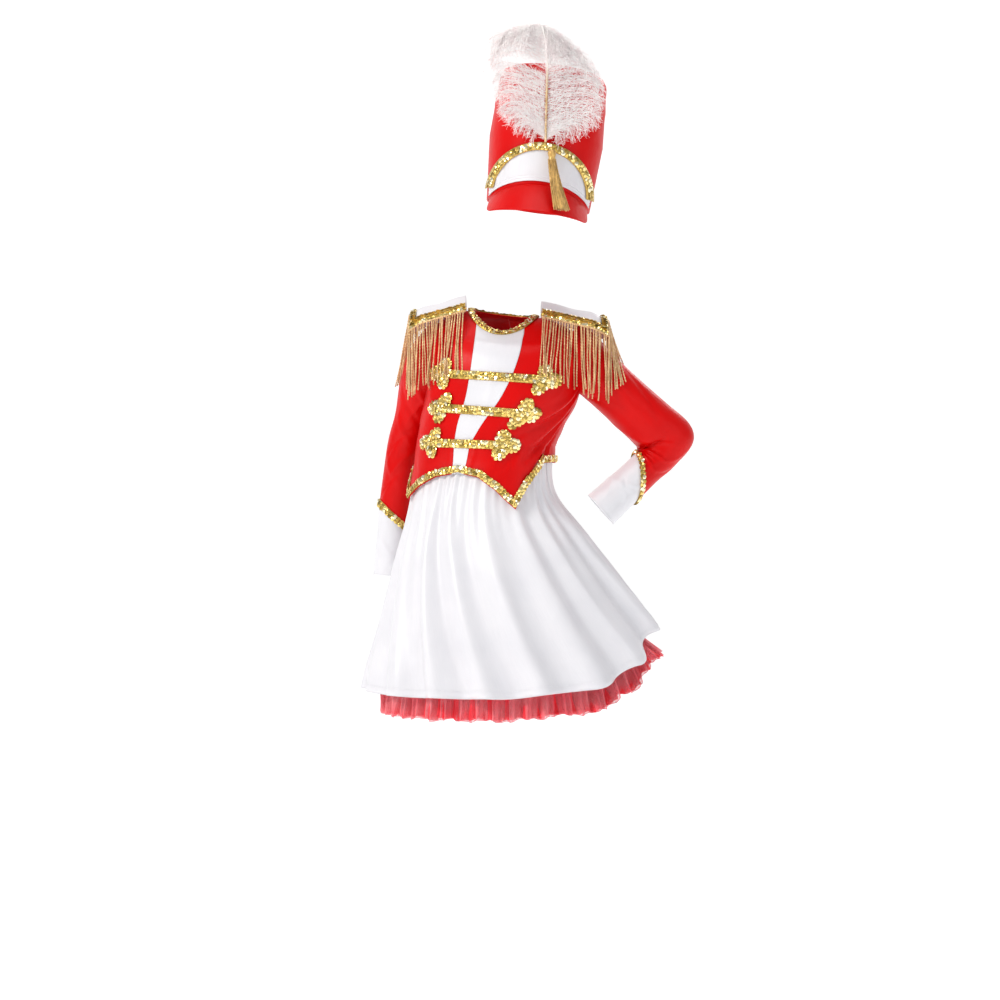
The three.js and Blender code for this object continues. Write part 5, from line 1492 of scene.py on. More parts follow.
def make_materials(settings):
    satin = satin_group()
    red = tuple(settings.red_colour)
    white = tuple(settings.white_colour)
    fringe = tuple(settings.fringe_colour)
    tulle = tuple(settings.tulle_colour)
    feather = tuple(settings.plume_colour)
    MATERIALS["red"] = satin_material("red_satin_cloth", satin, red, RED_SHADE, RED_FINISH)
    MATERIALS["white"] = satin_material("white_satin_cloth", satin, white, WHITE_SHADE, WHITE_FINISH)
    MATERIALS["sequin"] = sequin_material()
    MATERIALS["tape"] = tape_material()
    MATERIALS["fringe"] = fringe_material("copper_gold_fringe", FRINGE_SHADE, fringe)
    MATERIALS["tassel"] = fringe_material("gold_tassel", *TASSEL_TONES)
    MATERIALS["tulle"] = tulle_material("red_tulle_net", tulle, TULLE_LIGHT, TULLE_COVER)
    MATERIALS["tulle_pale"] = tulle_material("pale_tulle_net", *PALE_TULLE_TONES, PALE_TULLE_COVER)
    MATERIALS["feather"] = plain_fibre_material("plume_barbs", FEATHER_SHADE, feather, FEATHER_FINISH)
    MATERIALS["quill"] = quill_material()
    MATERIALS["thread"] = plain_fibre_material("white_thread", *THREAD_TONES, THREAD_FINISH)


def make_trees():
    TREES["sequins"] = sequin_tree()
    TREES["stitches"] = stitch_tree()
    TREES["strands"] = strand_tree()
    TREES["plume"] = plume_tree()


# Sequins and trims
def scatter_sequins(name, places, ups, alongs, settings, seed):
    obj = points_object(name, places, {"up": ups, "along": alongs})
    return grow(obj, TREES["sequins"], {
        "Sequin radius": settings.sequin_radius, "Cup depth": settings.sequin_radius * SEQUIN_CUP,
        "Tilt": settings.sequin_tilt, "Seed": seed, "Material": MATERIALS["sequin"]})


def path_length(points):
    return np.concatenate([[0], np.cumsum(np.linalg.norm(np.diff(points, axis=0), axis=-1))])


def sequins_on(name, surface, start, end, rows, settings, seed, pitch=SEQUIN_PITCH):
    """Staggered rows of sequins on a strip. surface(u, row, lift) gives points in millimetres."""
    samples = np.linspace(start, end, STRIP_SAMPLES)
    middle = surface(samples, np.full(samples.shape, rows[len(rows) // 2]), 0)
    run = path_length(middle)
    count = int(run[-1] / pitch)
    places = []
    ups = []
    alongs = []
    for i, row in enumerate(rows):
        shift = 1 / 4 + (i % 2) / 2
        at = np.interp((np.arange(count) + shift) * run[-1] / count, run, samples)
        rows_here = np.full(at.shape, row)
        here = surface(at, rows_here, TAPE_HEIGHT)
        up = surface(at, rows_here, TAPE_HEIGHT + 1) - here
        along = surface(at + (end - start) * STEP, rows_here, TAPE_HEIGHT) - here
        places.append(here)
        ups.append(up)
        alongs.append(along)
    return scatter_sequins(name, np.concatenate(places), np.concatenate(ups), np.concatenate(alongs),
                           settings, seed)


def trim_tape(name, surface, start, end, low, high, columns, wraps, height=TAPE_HEIGHT):
    """The tape that carries sequins: a low rounded strip."""
    shares = np.linspace(0, 1, TAPE_ROWS)
    count = columns if wraps else columns + 1
    along = np.linspace(start, end, columns + 1)[:count]
    u, share = np.meshgrid(along, shares)
    crown = height * mix(TAPE_EDGE, 1, np.sqrt(np.maximum(0, 1 - (2 * share - 1) ** 2)))
    outer = surface(u, mix(low, high, share), crown)
    inner = surface(u, mix(low, high, share), np.zeros(crown.shape))
    return mesh_object(name, *close_shell(outer, inner, wraps), MATERIALS["tape"])


def neck_trim_surface(angle, inset, lift):
    reach = dress_point(angle, NECK_LEVEL) - dress_point(angle, NECK_LEVEL - 1 / 2)
    speed = 2 * np.linalg.norm(reach, axis=-1)
    return lifted(dress_point, angle, NECK_LEVEL - 2 * STEP - inset / speed, NECK_TRIM_LIFT + lift)


def hem_trim_surface(angle, share, lift):
    reach = 1 / 2
    here = read_table(BODICE_HEM, 1, wrap_angle(angle), False)
    after = read_table(BODICE_HEM, 1, wrap_angle(angle + reach), False)
    before = read_table(BODICE_HEM, 1, wrap_angle(angle - reach), False)
    run = np.radians(2 * reach) * FOLD_REACH
    slope = np.minimum(np.abs(after - here), np.abs(here - before)) * 2 / run
    z = here + 1 + TRIM_WIDTH * share * np.hypot(1, slope)
    return lifted(dress_point, angle, level_at(angle, z), TRIM_LIFT + lift)


def frog_surface(frog, angle, up, lift):
    z, fall, start, end = frog
    height = z - fall * (angle - (start + end) / 2) / (end - start) + up
    return lifted(dress_point, angle, level_at(angle, height), NECK_TRIM_LIFT + lift)


def cuff_trim_surface(side, turn, share, lift):
    place = cuff_seam(side, turn) + mix(*CUFF_TRIM_REACH, share)
    return arm_lifted(side, turn, place, TRIM_LIFT + lift)


def lay_trim(node, surface, span, edges, rows, columns, wraps, settings, seed, margin=0):
    """A tape with its sequins, which together replace the node."""
    start, end = span
    tape = trim_tape(f"{node}_tape", surface, start, end, *edges, columns, wraps)
    finish_piece(tape, [node], "gold_sequin")
    discs = sequins_on(f"{node}_sequins", surface, start + margin, end - margin, rows, settings, seed)
    finish_piece(discs, [node], "gold_sequin")


# Shoulder boards
def board_corner(along):
    """How much the board keeps of its depth near its rounded tip."""
    past = np.maximum(0, along - BOARD_CORNER["start"]) / (1 - BOARD_CORNER["start"])
    return 1 - BOARD_CORNER["loss"] * past


def board_point(board, along, across):
    along, across = np.broadcast_arrays(np.asarray(along, float), np.asarray(across, float))
    half_depth = mix(*BOARD_HALF_DEPTH, along)
    corner = board_corner(along)
    x = mix(board["neck"][0], board["end"][0], along)
    y = mix(board["neck"][1], board["end"][1], along) + half_depth * across * corner
    tip = BOARD_TIP_DROP * soft_step(along, *BOARD_TIP)
    z = mix(*board["ridge"], along) - BOARD_DOME * across ** 2 - tip
    return np.stack([x, y, z], axis=-1)


def board_sink(side, board):
    """How far the board sank onto the shoulder in the frame, read at its middle."""
    point = board_point(board, 1 / 2, 0.0)
    tree = node_bvh([f"epaulette_{side}"])
    hit = tree.ray_cast(Vector(point * MM) + Vector((0, 0, BOARD_RAY_START)), Vector(DOWN))[0]
    return point[2] - hit.z / MM


def node_bvh(names):
    points = []
    faces = []
    for name in names:
        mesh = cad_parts[name].data
        start = len(points)
        points += [v.co.copy() for v in mesh.vertices]
        faces += [[start + i for i in face.vertices] for face in mesh.polygons]
    return BVHTree.FromPolygons(points, faces)


def board_edge(board, sink):
    along = np.linspace(0, 1, BOARD_EDGE_STEPS)
    front = board_point(board, along, -1.0)
    tip = board_point(board, 1.0, np.linspace(-1, 1, BOARD_EDGE_STEPS))[1:-1]
    back = board_point(board, along, 1.0)[::-1]
    edge = np.concatenate([front, tip, back])
    edge[:, 2] -= sink
    return edge


def edge_outs(edge, side):
    steps = np.diff(edge, axis=0)
    flat = np.stack([-steps[:, 1] * side, steps[:, 0] * side, np.zeros(len(steps))], axis=-1)
    flat /= np.linalg.norm(flat, axis=-1, keepdims=True)
    outs = np.concatenate([flat[:1], flat[:-1] + flat[1:], flat[-1:]])
    outs /= np.linalg.norm(outs, axis=-1, keepdims=True)
    outs[0] = (0, -1, 0)
    outs[-1] = (0, 1, 0)
    return outs


def fall_way(board, root, out):
    """Strands at a board's tip slide off the sleeve head, half to its front and half to its back."""
    share = soft_step(abs(out[0]), *TIP_SLIDE["start"])
    aside = np.sign(root[1] - board["end"][1]) * TIP_SLIDE["aside"] * share
    way = np.array([out[0] * mix(1, TIP_SLIDE["ahead"], share), out[1] + aside, 0.0])
    return way / np.linalg.norm(way)


def hang_line(tree, root, out, length, clearance, steps=HANG_STEPS):
    """A strand's line: straight over what is behind it, then straight down."""
    side = np.cross(out, DOWN)
    side /= np.linalg.norm(side)
    needs = []
    for k in range(steps + 1):
        place = root + DOWN * length * k / steps
        most = 0.0
        for offset in (-1, 0, 1):
            far = place + out * RAY_START + side * offset * RAY_SIDE
            hit = tree.ray_cast(Vector(far * MM), Vector(-out), RAY_REACH)[0]
            if hit is not None:
                most = max(most, float((np.array(hit) / MM - place) @ out) + clearance)
        needs.append(most)
    needs[0] = 0.0
    needs = np.maximum.accumulate(needs)
    hull = [0]
    for k in range(1, steps + 1):
        while len(hull) > 1:
            last, before = hull[-1], hull[-2]
            rise = (needs[last] - needs[before]) / (last - before)
            if (needs[k] - needs[before]) / (k - before) >= rise:
                hull.pop()
            else:
                break
        hull.append(k)
    reach = np.interp(np.arange(steps + 1), hull, needs[hull])
    window = 2 * HANG_SMOOTHING + 1
    soft = np.convolve(np.pad(reach, HANG_SMOOTHING, mode="edge"), np.ones(window) / window, mode="valid")
    reach = np.maximum(reach, soft)
    reach[0] = 0
    line = root + DOWN * (length * np.arange(steps + 1) / steps)[:, None] + out * reach[:, None]
    run = path_length(line)
    return along_line(np.linspace(0, min(length, run[-1]), steps + HANG_SPARE_STEPS), run, line)


# Hat: azimuth from the front towards the wearer's left, height above the base
def hat_to_row(points):
    roll = math.radians(HAT_ROLL)
    x, y, z = np.moveaxis(np.asarray(points), -1, 0)
    across = x * math.cos(roll) + z * math.sin(roll)
    up = z * math.cos(roll) - x * math.sin(roll)
    return np.stack([across, y, up], axis=-1) + np.array(HAT_PLACE)


def hat_ring(height, grow_by=0.0):
    height = np.asarray(height, float)
    width = np.interp(height, HAT_RINGS[:, 0], HAT_RINGS[:, 1]) + grow_by
    depth = np.interp(height, HAT_RINGS[:, 0], HAT_RINGS[:, 2]) + grow_by
    return width, depth


def hat_point(azimuth, height, lift):
    width, depth = hat_ring(height, lift)
    turn = np.radians(azimuth)
    up = np.broadcast_to(height, np.shape(width * turn))
    return np.stack([width * np.sin(turn), -depth * np.cos(turn), up], axis=-1)


def visor_seam_height(azimuth):
    return VISOR_SEAM_RISE * np.cos(np.radians(azimuth * 90 / VISOR_SPAN)) + 2


def arch_height(azimuth):
    return ARCH[0] + ARCH[1] * np.cos(np.radians(azimuth))


def hat_braid_surface(azimuth, up, lift):
    turn = np.radians(azimuth)
    x = np.sin(turn) * (1 - up / HAT_RINGS[0][1])
    z = arch_height(azimuth) - up * np.cos(turn)
    around = np.degrees(np.arcsin(np.clip(x, -1, 1)))
    return hat_to_row(hat_point(around, z, HAT_BRAID_STAND + np.asarray(lift)))


def visor_point(azimuth, share):
    middle = np.cos(np.radians(azimuth * 90 / VISOR_SPAN))
    start = hat_point(azimuth, visor_seam_height(azimuth) - 3, VISOR_STAND)
    share = share * (1 - VISOR_CORNER_LOSS * soft_step(np.abs(azimuth), *VISOR_CORNER) ** 2)
    out = VISOR_REACH * np.sqrt(np.maximum(middle, 0)) * share + VISOR_LIP * share
    drop = mix(VISOR_DROP[0], VISOR_DROP[1] + VISOR_SEAM_RISE / 2, middle) * share ** VISOR_BEND
    turn = np.radians(azimuth)
    return start + np.stack([np.sin(turn) * out * VISOR_SIDE_REACH, -np.cos(turn) * out, -drop], axis=-1)


# Plume
def plume_middle(place):
    row = blend_rows(PLUME, place)
    height = PLUME_FOOT[1] + row[..., 0]
    _, depth = hat_ring(np.minimum(height, HAT_RINGS[-1][0]))
    y = -depth - PLUME_STAND - row[..., 3]
    return np.stack([PLUME_FOOT[0] - row[..., 4], y, height], axis=-1), row


def barb_line(place, side, length, lift, droop, sway):
    """One barb: it leaves the quill upwards, runs out along the vane and droops at its tip."""
    root, row = plume_middle(np.array(place))
    width = row[1] if side < 0 else row[2]
    reach = width * length
    t = np.linspace(0, 1, BARB_STEPS)
    arc = math.pi / 2 * BARB_ARC
    out = reach * np.sin(t * arc) / math.sin(arc)
    rise = lift * np.sin(t * math.pi * BARB_RISE_TURN) - droop * t ** BARB_DROOP_POWER
    forward = sway * np.sin(t * math.pi) - BARB_BACK * t
    behind = BARB_WRAP * out ** 2 + BARB_STAND - forward * BARB_SWAY_SHARE
    return hat_to_row(np.stack([root[0] + side * out, root[1] + behind, root[2] + rise], axis=-1))


# Settings
class CostumeSettings(bpy.types.PropertyGroup):
    gather_count: bpy.props.IntProperty(
        name="Gathers", description="Fine gathers round the waist", default=43, min=20, max=120)
    gather_depth: bpy.props.FloatProperty(
        name="Gather depth", description="Depth of a gather", default=0.0017, unit="LENGTH",
        subtype="DISTANCE")
    flute_depth: bpy.props.FloatProperty(
        name="Flute depth", description="Depth of the broad flutes at the hem", default=0.013, unit="LENGTH",
        subtype="DISTANCE")
    cloth_wall: bpy.props.FloatProperty(
        name="Satin", description="Thickness of satin with its lining", default=0.0012, unit="LENGTH",
        subtype="DISTANCE")
    tulle_wall: bpy.props.FloatProperty(
        name="Tulle", description="Thickness of a tulle layer", default=0.0005, unit="LENGTH",
        subtype="DISTANCE")
    sequin_radius: bpy.props.FloatProperty(
        name="Sequin radius", description="Radius of a sequin", default=0.0039, unit="LENGTH",
        subtype="DISTANCE")
    sequin_tilt: bpy.props.FloatProperty(
        name="Sequin tilt", description="How far a loose sequin turns", default=0.36, subtype="ANGLE")
    strand_pitch: bpy.props.FloatProperty(
        name="Strand pitch", description="Distance between fringe strands", default=0.0072, unit="LENGTH",
        subtype="DISTANCE")
    strand_radius: bpy.props.FloatProperty(
        name="Strand radius", description="Radius of a twisted strand", default=0.0013, unit="LENGTH",
        subtype="DISTANCE")
    barb_count: bpy.props.IntProperty(
        name="Barbs", description="Barbs on each side of the plume", default=165, min=20, max=300)
    red_colour: bpy.props.FloatVectorProperty(
        name="Red satin", description="Colour of the red satin", default=(0.68, 0.002, 0.002),
        subtype="COLOR", min=0, max=1)
    white_colour: bpy.props.FloatVectorProperty(
        name="White satin", description="Colour of the white satin", default=(0.8, 0.79, 0.82),
        subtype="COLOR", min=0, max=1)
    tulle_colour: bpy.props.FloatVectorProperty(
        name="Tulle", description="Colour of the two inner tulle layers", default=(0.98, 0.012, 0.03),
        subtype="COLOR", min=0, max=1)
    fringe_colour: bpy.props.FloatVectorProperty(
        name="Fringe", description="Light tone of the fringe", default=(1.0, 0.72, 0.38), subtype="COLOR",
        min=0, max=1)
    plume_colour: bpy.props.FloatVectorProperty(
        name="Plume", description="Light tone of the plume", default=(1.0, 0.97, 0.96), subtype="COLOR",
        min=0, max=1)
    floor_height: bpy.props.FloatProperty(
        name="Floor", description="Height of the studio floor", default=-0.95, unit="LENGTH",
        subtype="DISTANCE")


def settings_of(context):
    return context.scene.costume_settings


# Bodice
BODICE_PANELS = {
    "bodice_back_right": ("red", -180, -SIDE_SEAM, 66, "red_satin"),
    "bodice_front_right": ("red", -SIDE_SEAM, "right wedge", 74, "red_satin"),
    "bodice_front_center": ("white", "right wedge", "left wedge", 40, "white_satin"),
    "bodice_front_left": ("red", "left wedge", SIDE_SEAM, 74, "red_satin"),
    "bodice_back_left": ("red", SIDE_SEAM, 180, 66, "red_satin"),
}
WEDGE_SIDES = {"right wedge": -1, "left wedge": 1}
BODICE_ROWS = 66
BASQUE_ROWS = 18
PANEL_GAP = 0.1
CREASE_BODICE_STEP = FOLD_REACH * math.pi / 180
CREASE_FADE = (-60, -20)
CREASE_FADE_DEPTH = 0.8
BODICE_HUB = (-8, 0, -120)
PLUG_TURNS = 96
ARM_PLUG = {"end": 2.5, "rows": 26, "inset": 1.2}
TORSO_PLUG = {"columns": 181, "below": -0.3, "below_rows": 8, "rows": 60, "lift": 0.15}


def panel_edge(edge, level):
    """The angle of a panel's edge: a fixed seam, or a side of the white wedge."""
    if edge in WEDGE_SIDES:
        return WEDGE_SIDES[edge] * wedge_angle(level)
    return float(edge)


def panel_grid(edges, columns):
    """Points of a bodice panel: rows of the part below the waist, then rows up to the neck."""
    basque = np.linspace(1, 0, BASQUE_ROWS + 1)[:-1]
    levels = np.linspace(0, NECK_LEVEL - 2 * STEP, BODICE_ROWS)
    shares = np.linspace(0, 1, columns + 1)
    rows = []
    for share, level in [(share, -share) for share in basque] + [(0, level) for level in levels]:
        low, high = (panel_edge(edge, np.array(float(level))) for edge in edges)
        angle = mix(low + PANEL_GAP, high - PANEL_GAP, shares)
        at = bodice_hem_level(angle) * share if share > 0 else np.full(angle.shape, level)
        height = dress_point(angle, at)[..., 2]
        crease = crease_height(BODICE_CREASES, wrap_angle(angle), height, CREASE_BODICE_STEP, 1.0, 360)
        fade = 1 - CREASE_FADE_DEPTH * soft_step(height, *CREASE_FADE)
        rows.append(lifted(dress_point, angle, at, crease * fade))
    return np.stack(rows)


def arm_plug(side):
    turns = np.arange(PLUG_TURNS) * 360 / PLUG_TURNS
    turn, place = np.meshgrid(turns, np.linspace(0, ARM_PLUG["end"], ARM_PLUG["rows"]))
    return loft_solid("plug", arm_lifted(side, turn, place, -ARM_PLUG["inset"]))


def torso_plug():
    angles = np.linspace(-180, 180, TORSO_PLUG["columns"])[1:]
    below = np.linspace(TORSO_PLUG["below"], 0, TORSO_PLUG["below_rows"])[:-1]
    levels = np.concatenate([below, np.linspace(0, NECK_LEVEL, TORSO_PLUG["rows"])])
    angle, level = np.meshgrid(angles, levels)
    height = dress_point(angle, level)[..., 2]
    crease = crease_height(BODICE_CREASES, angle, height, CREASE_BODICE_STEP, 1.0, 360)
    return loft_solid("torso_plug", lifted(dress_point, angle, level, TORSO_PLUG["lift"] + crease))


class COSTUME_OT_bodice(bpy.types.Operator):
    """Red fronts and backs with a white wedge, cut out at the armholes"""
    bl_idname = "costume.bodice"
    bl_label = "Bodice"

    def execute(self, context):
        settings = settings_of(context)
        plugs = [arm_plug(side) for side in ARMS]
        for name, (colour, low, high, columns, slot) in BODICE_PANELS.items():
            grid = panel_grid((low, high), columns)
            cutters = () if name == "bodice_front_center" else plugs
            cloth_piece(name, f"{name}_cloth", grid, False, settings.cloth_wall, colour, slot, BODICE_HUB,
                        cutters)
        dispose(*plugs)
        return {"FINISHED"}


# Cut of each cloth piece in metres: width, length, hold, what it hangs from, area of the cut itself
CUTS = {
    "bodice_back_right": (0.18, 0.27, "stretched", ("sleeve_right",), 0.036),
    "bodice_front_right": (0.18, 0.30, "stretched", ("sleeve_right",), 0.035),
    "bodice_front_center": (0.08, 0.26, "stretched", ("bodice_front_right", "bodice_front_left"), 0.0134),
    "bodice_front_left": (0.18, 0.31, "stretched", ("sleeve_left",), 0.036),
    "bodice_back_left": (0.18, 0.27, "stretched", ("sleeve_left",), 0.036),
    "sleeve_right": (0.27, 0.31, "hung", ("bodice_front_right",), 0.052),
    "sleeve_left": (0.28, 0.32, "hung", ("bodice_front_left",), 0.067),
    "cuff_right": (0.18, 0.11, "hung", ("sleeve_right",), 0.0156),
    "cuff_left": (0.19, 0.10, "hung", ("sleeve_left",), 0.0143),
    "skirt_front": (0.62, 0.39, "gathered", ("bodice_front_center",), None),
    "skirt_back": (0.62, 0.36, "gathered", ("bodice_back_right",), None),
    "petticoat_front": (0.72, 0.26, "gathered", ("skirt_front",), None),
    "petticoat_back": (0.70, 0.24, "gathered", ("skirt_back",), None),
    "epaulette_right": (0.12, 0.10, "stretched", ("sleeve_right",), None),
    "epaulette_left": (0.12, 0.12, "stretched", ("sleeve_left",), None),
    "hat_band": (0.21, 0.06, "stretched", ("hat_crown",), 0.0101),
}


def declare_cloth(node):
    width, length, held, rests_on, area = CUTS[node]
    list(rests_on)


class COSTUME_OT_sleeves(bpy.types.Operator):
    """Red sleeves and white cuffs with a slanted seam"""
    bl_idname = "costume.sleeves"
    bl_label = "Sleeves and cuffs"

    def execute(self, context):
        settings = settings_of(context)
        plug = torso_plug()
        turns = np.arange(SLEEVE_COLUMNS) * 360 / SLEEVE_COLUMNS
        turn_step = CREASE_ARM_RADIUS * math.pi / 180
        for side, arm in ARMS.items():
            seam = CUFF_SEAMS[side][0]
            turn, share = np.meshgrid(turns, np.linspace(0, 1, SLEEVE_ROWS))
            end = cuff_seam(side, turn)
            place = mix(seam * share, end * share, share ** 2)
            crease = crease_height(SLEEVE_CREASES[side], turn, place, turn_step, CREASE_ARM_STEP, 360)
            calm = 1 - SLEEVE_CALM * soft_step(share, *SLEEVE_FADE_OUT)
            fade = soft_step(place, *SLEEVE_FADE_IN) * calm
            grid = arm_lifted(side, turn, place, crease * fade)
            cloth_piece(f"sleeve_{side}", f"sleeve_{side}_cloth", grid, True, settings.cloth_wall, "red",
                        "red_satin", cutters=[plug])
            last = len(arm) - 1
            turn, share = np.meshgrid(turns, np.linspace(0, 1, CUFF_ROWS))
            start = cuff_seam(side, turn) + CUFF_GAP
            place = mix(start, last - 2 * STEP, share)
            crease = crease_height(CUFF_CREASES, turn, place, turn_step, CREASE_ARM_STEP, 360)
            hem = CUFF_HEM["depth"] * np.exp(-((1 - share) * CUFF_HEM["share"] - 1) ** 2 * CUFF_HEM["sharp"])
            calm = 1 - CUFF_CALM * soft_step(share, *CUFF_FADE_OUT)
            grid = arm_lifted(side, turn, place, crease * calm - hem)
            cloth_piece(f"cuff_{side}", f"cuff_{side}_cloth", grid, True, settings.cloth_wall, "white",
                        "white_satin")
        dispose(plug)
        return {"FINISHED"}


class COSTUME_OT_skirt(bpy.types.Operator):
    """White satin skirt, gathered at the waist, with a narrow stitched hem"""
    bl_idname = "costume.skirt"
    bl_label = "Skirt"

    def execute(self, context):
        settings = settings_of(context)

        def surface(angle, fall):
            return lifted(dress_point, angle, -np.asarray(fall), skirt_lift(angle, fall, settings))

        waist_rows = SKIRT_WAIST["rows"]
        upper = np.linspace(SKIRT_WAIST["start"], SKIRT_WAIST["end"], waist_rows)[:-1]
        lower = np.linspace(SKIRT_WAIST["end"], SKIRT_END, SKIRT_STEPS - waist_rows + 2)
        falls = np.concatenate([upper, lower])
        for half, start in HALVES:
            angles = np.linspace(start + SKIRT_SEAM_GAP, start + 180 - SKIRT_SEAM_GAP, SKIRT_SPAN // 2 + 1)
            angle, fall = np.meshgrid(angles, falls)
            grid = surface(angle, fall)
            step_in = HEM_FOLD_HEIGHT * (1 - soft_step(fall, *HEM_FOLD_SPAN))
            grid = grid + grid_normals(grid, False) * step_in[..., None]
            cloth_piece(f"skirt_{half}", f"skirt_{half}_cloth", grid, False, settings.cloth_wall, "white",
                        "white_satin", SKIRT_HUB)
            seam = np.linspace(start + HEM_STITCH_INSET, start + 180 - HEM_STITCH_INSET, HEM_STITCHES)
            fall = np.full(seam.shape, HEM_STITCH_FALL)
            here = surface(seam, fall)
            up = -normal_of(surface, seam, fall)
            thread = points_object(f"skirt_hem_stitches_{half}", here + up * HEM_STITCH_LIFT, {
                "up": up, "along": surface(seam + HEM_STITCH_STEP, fall) - here})
            grow(thread, TREES["stitches"], {**HEM_STITCH, "Material": MATERIALS["thread"]})
            finish_piece(thread, [], "white_satin")
        return {"FINISHED"}


def loose_wave(turn, layer, wave):
    drift = wave["drift"] * np.sin(wave["drift_count"] * turn)
    return wave["height"] * np.cos(wave["count"] * turn + drift + wave["turn"] * layer)


class COSTUME_OT_petticoat(bpy.types.Operator):
    """Ruffles of red tulle that show below the skirt"""
    bl_idname = "costume.petticoat"
    bl_label = "Petticoat"

    def execute(self, context):
        settings = settings_of(context)
        for half, start in HALVES:
            for layer, (label, colour, reach) in enumerate(TULLE_LAYERS):
                angles = np.linspace(start + TULLE_SEAM_GAP, start + 180 - TULLE_SEAM_GAP, TULLE_COLUMNS)
                falls = np.linspace(PETTICOAT_TOP, 1 - 2 * STEP, TULLE_ROWS)
                angle, fall = np.meshgrid(angles, falls)
                grid = lifted(dress_point, angle, -fall, petticoat_lift(angle, fall, layer))
                flare = read_table(PETTICOAT_SHOW, 2, wrap_angle(angles), True)
                drop = read_table(PETTICOAT_SHOW, 1, wrap_angle(angles), True)
                out = normal_of(dress_point, angles, np.full(angles.shape, -TULLE_OUT_FALL))
                out[:, 2] = 0
                out /= np.linalg.norm(out, axis=-1, keepdims=True)
                turn = np.radians(angles)
                (broad, broad_share), (small, small_share) = TULLE_UNEVEN
                uneven = 1 + broad_share * np.sin(broad * turn + layer) + small_share * np.sin(small * turn)
                loose = []
                for share in np.linspace(0, 1, TULLE_LOOSE_ROWS)[1:]:
                    wave = share * sum(loose_wave(turn, layer, kind) for kind in TULLE_WAVES)
                    swing = out * (flare * share ** TULLE_FLARE_POWER + wave)[:, None]
                    loose.append(grid[-1] + swing + DOWN * (drop * share * reach * uneven)[:, None])
                whole = np.concatenate([grid, np.stack(loose)])
                cloth_piece(f"petticoat_{half}", f"petticoat_{half}_{label}", whole, False,
                            settings.tulle_wall, colour, "red_tulle", SKIRT_HUB)
        return {"FINISHED"}


class COSTUME_OT_trims(bpy.types.Operator):
    """Gold sequin trims at the neck, the pointed lower edge and the cuffs"""
    bl_idname = "costume.trims"
    bl_label = "Sequin trims"

    def execute(self, context):
        settings = settings_of(context)
        trims = [("neck_trim", neck_trim_surface, NECK_TRIM), ("bodice_hem_trim", hem_trim_surface, HEM_TRIM)]
        trims += [(f"cuff_trim_{side}", partial(cuff_trim_surface, side), CUFF_TRIM) for side in ARMS]
        for index, (node, surface, (low, high, rows, columns)) in enumerate(trims):
            lay_trim(node, surface, (-180, 180), (low, high), rows, columns, True, settings,
                     SEEDS["trims"] + index)
        return {"FINISHED"}


def clover_points(scale, turns):
    radius = CLOVER_RADIUS * scale * (1 + CLOVER_LOBE * np.cos(3 * turns))
    return radius * np.cos(turns), radius * np.sin(turns)


class COSTUME_OT_frogging(bpy.types.Operator):
    """Three sequin braids across the front, each with a three-lobed end on both sides"""
    bl_idname = "costume.frogging"
    bl_label = "Frogging"

    def execute(self, context):
        settings = settings_of(context)
        for index, frog in enumerate(FROGS):
            surface = partial(frog_surface, frog)
            _, _, right, left = frog
            half = BRAID_WIDTH / 2
            rows = (-half * BRAID_ROW, half * BRAID_ROW)
            span = (right + BRAID_INSET, left - BRAID_INSET)
            lay_trim(f"frog_braid_{index + 1}", surface, span, (-half, half), rows, BRAID_COLUMNS, False,
                     settings, SEEDS["braids"] + index)
            for side, middle, outward in (("right", right, -1), ("left", left, 1)):
                node = f"frog_end_{index + 1}_{side}"
                self.make_clover(node, surface, middle, outward, settings, SEEDS["clovers"] + index)
        return {"FINISHED"}

    def make_clover(self, node, surface, middle, outward, settings, seed):
        turns = np.arange(CLOVER_CORNERS) * 2 * math.pi / CLOVER_CORNERS
        rings = []
        for scale, lift in CLOVER_PAD:
            along, up = clover_points(scale, turns)
            angle = middle + np.degrees((along + CLOVER_SHIFT) * outward / FOLD_REACH)
            rings.append(surface(angle, up, np.full(angle.shape, lift)))
        pad = smooth_solid(f"{node}_pad", np.stack(rings), MATERIALS["tape"])
        finish_piece(pad, [node], "gold_sequin")
        places = []
        ups = []
        alongs = []
        for scale, count in CLOVER_SEQUINS:
            around = (np.arange(count) + 1 / 2) * 2 * math.pi / count
            along, up = clover_points(scale, around)
            angle = middle + np.degrees((along + CLOVER_SHIFT) * outward / FOLD_REACH)
            lift = np.interp(scale, *CLOVER_DOME)
            here = surface(angle, up, np.full(angle.shape, lift))
            places.append(here)
            ups.append(surface(angle, up, np.full(angle.shape, lift + 1)) - here)
            ahead = np.roll(here, -1, axis=0) - here
            alongs.append(ahead)
        discs = scatter_sequins(f"{node}_sequins", np.concatenate(places), np.concatenate(ups),
                                np.concatenate(alongs), settings, seed)
        finish_piece(discs, [node], "gold_sequin")


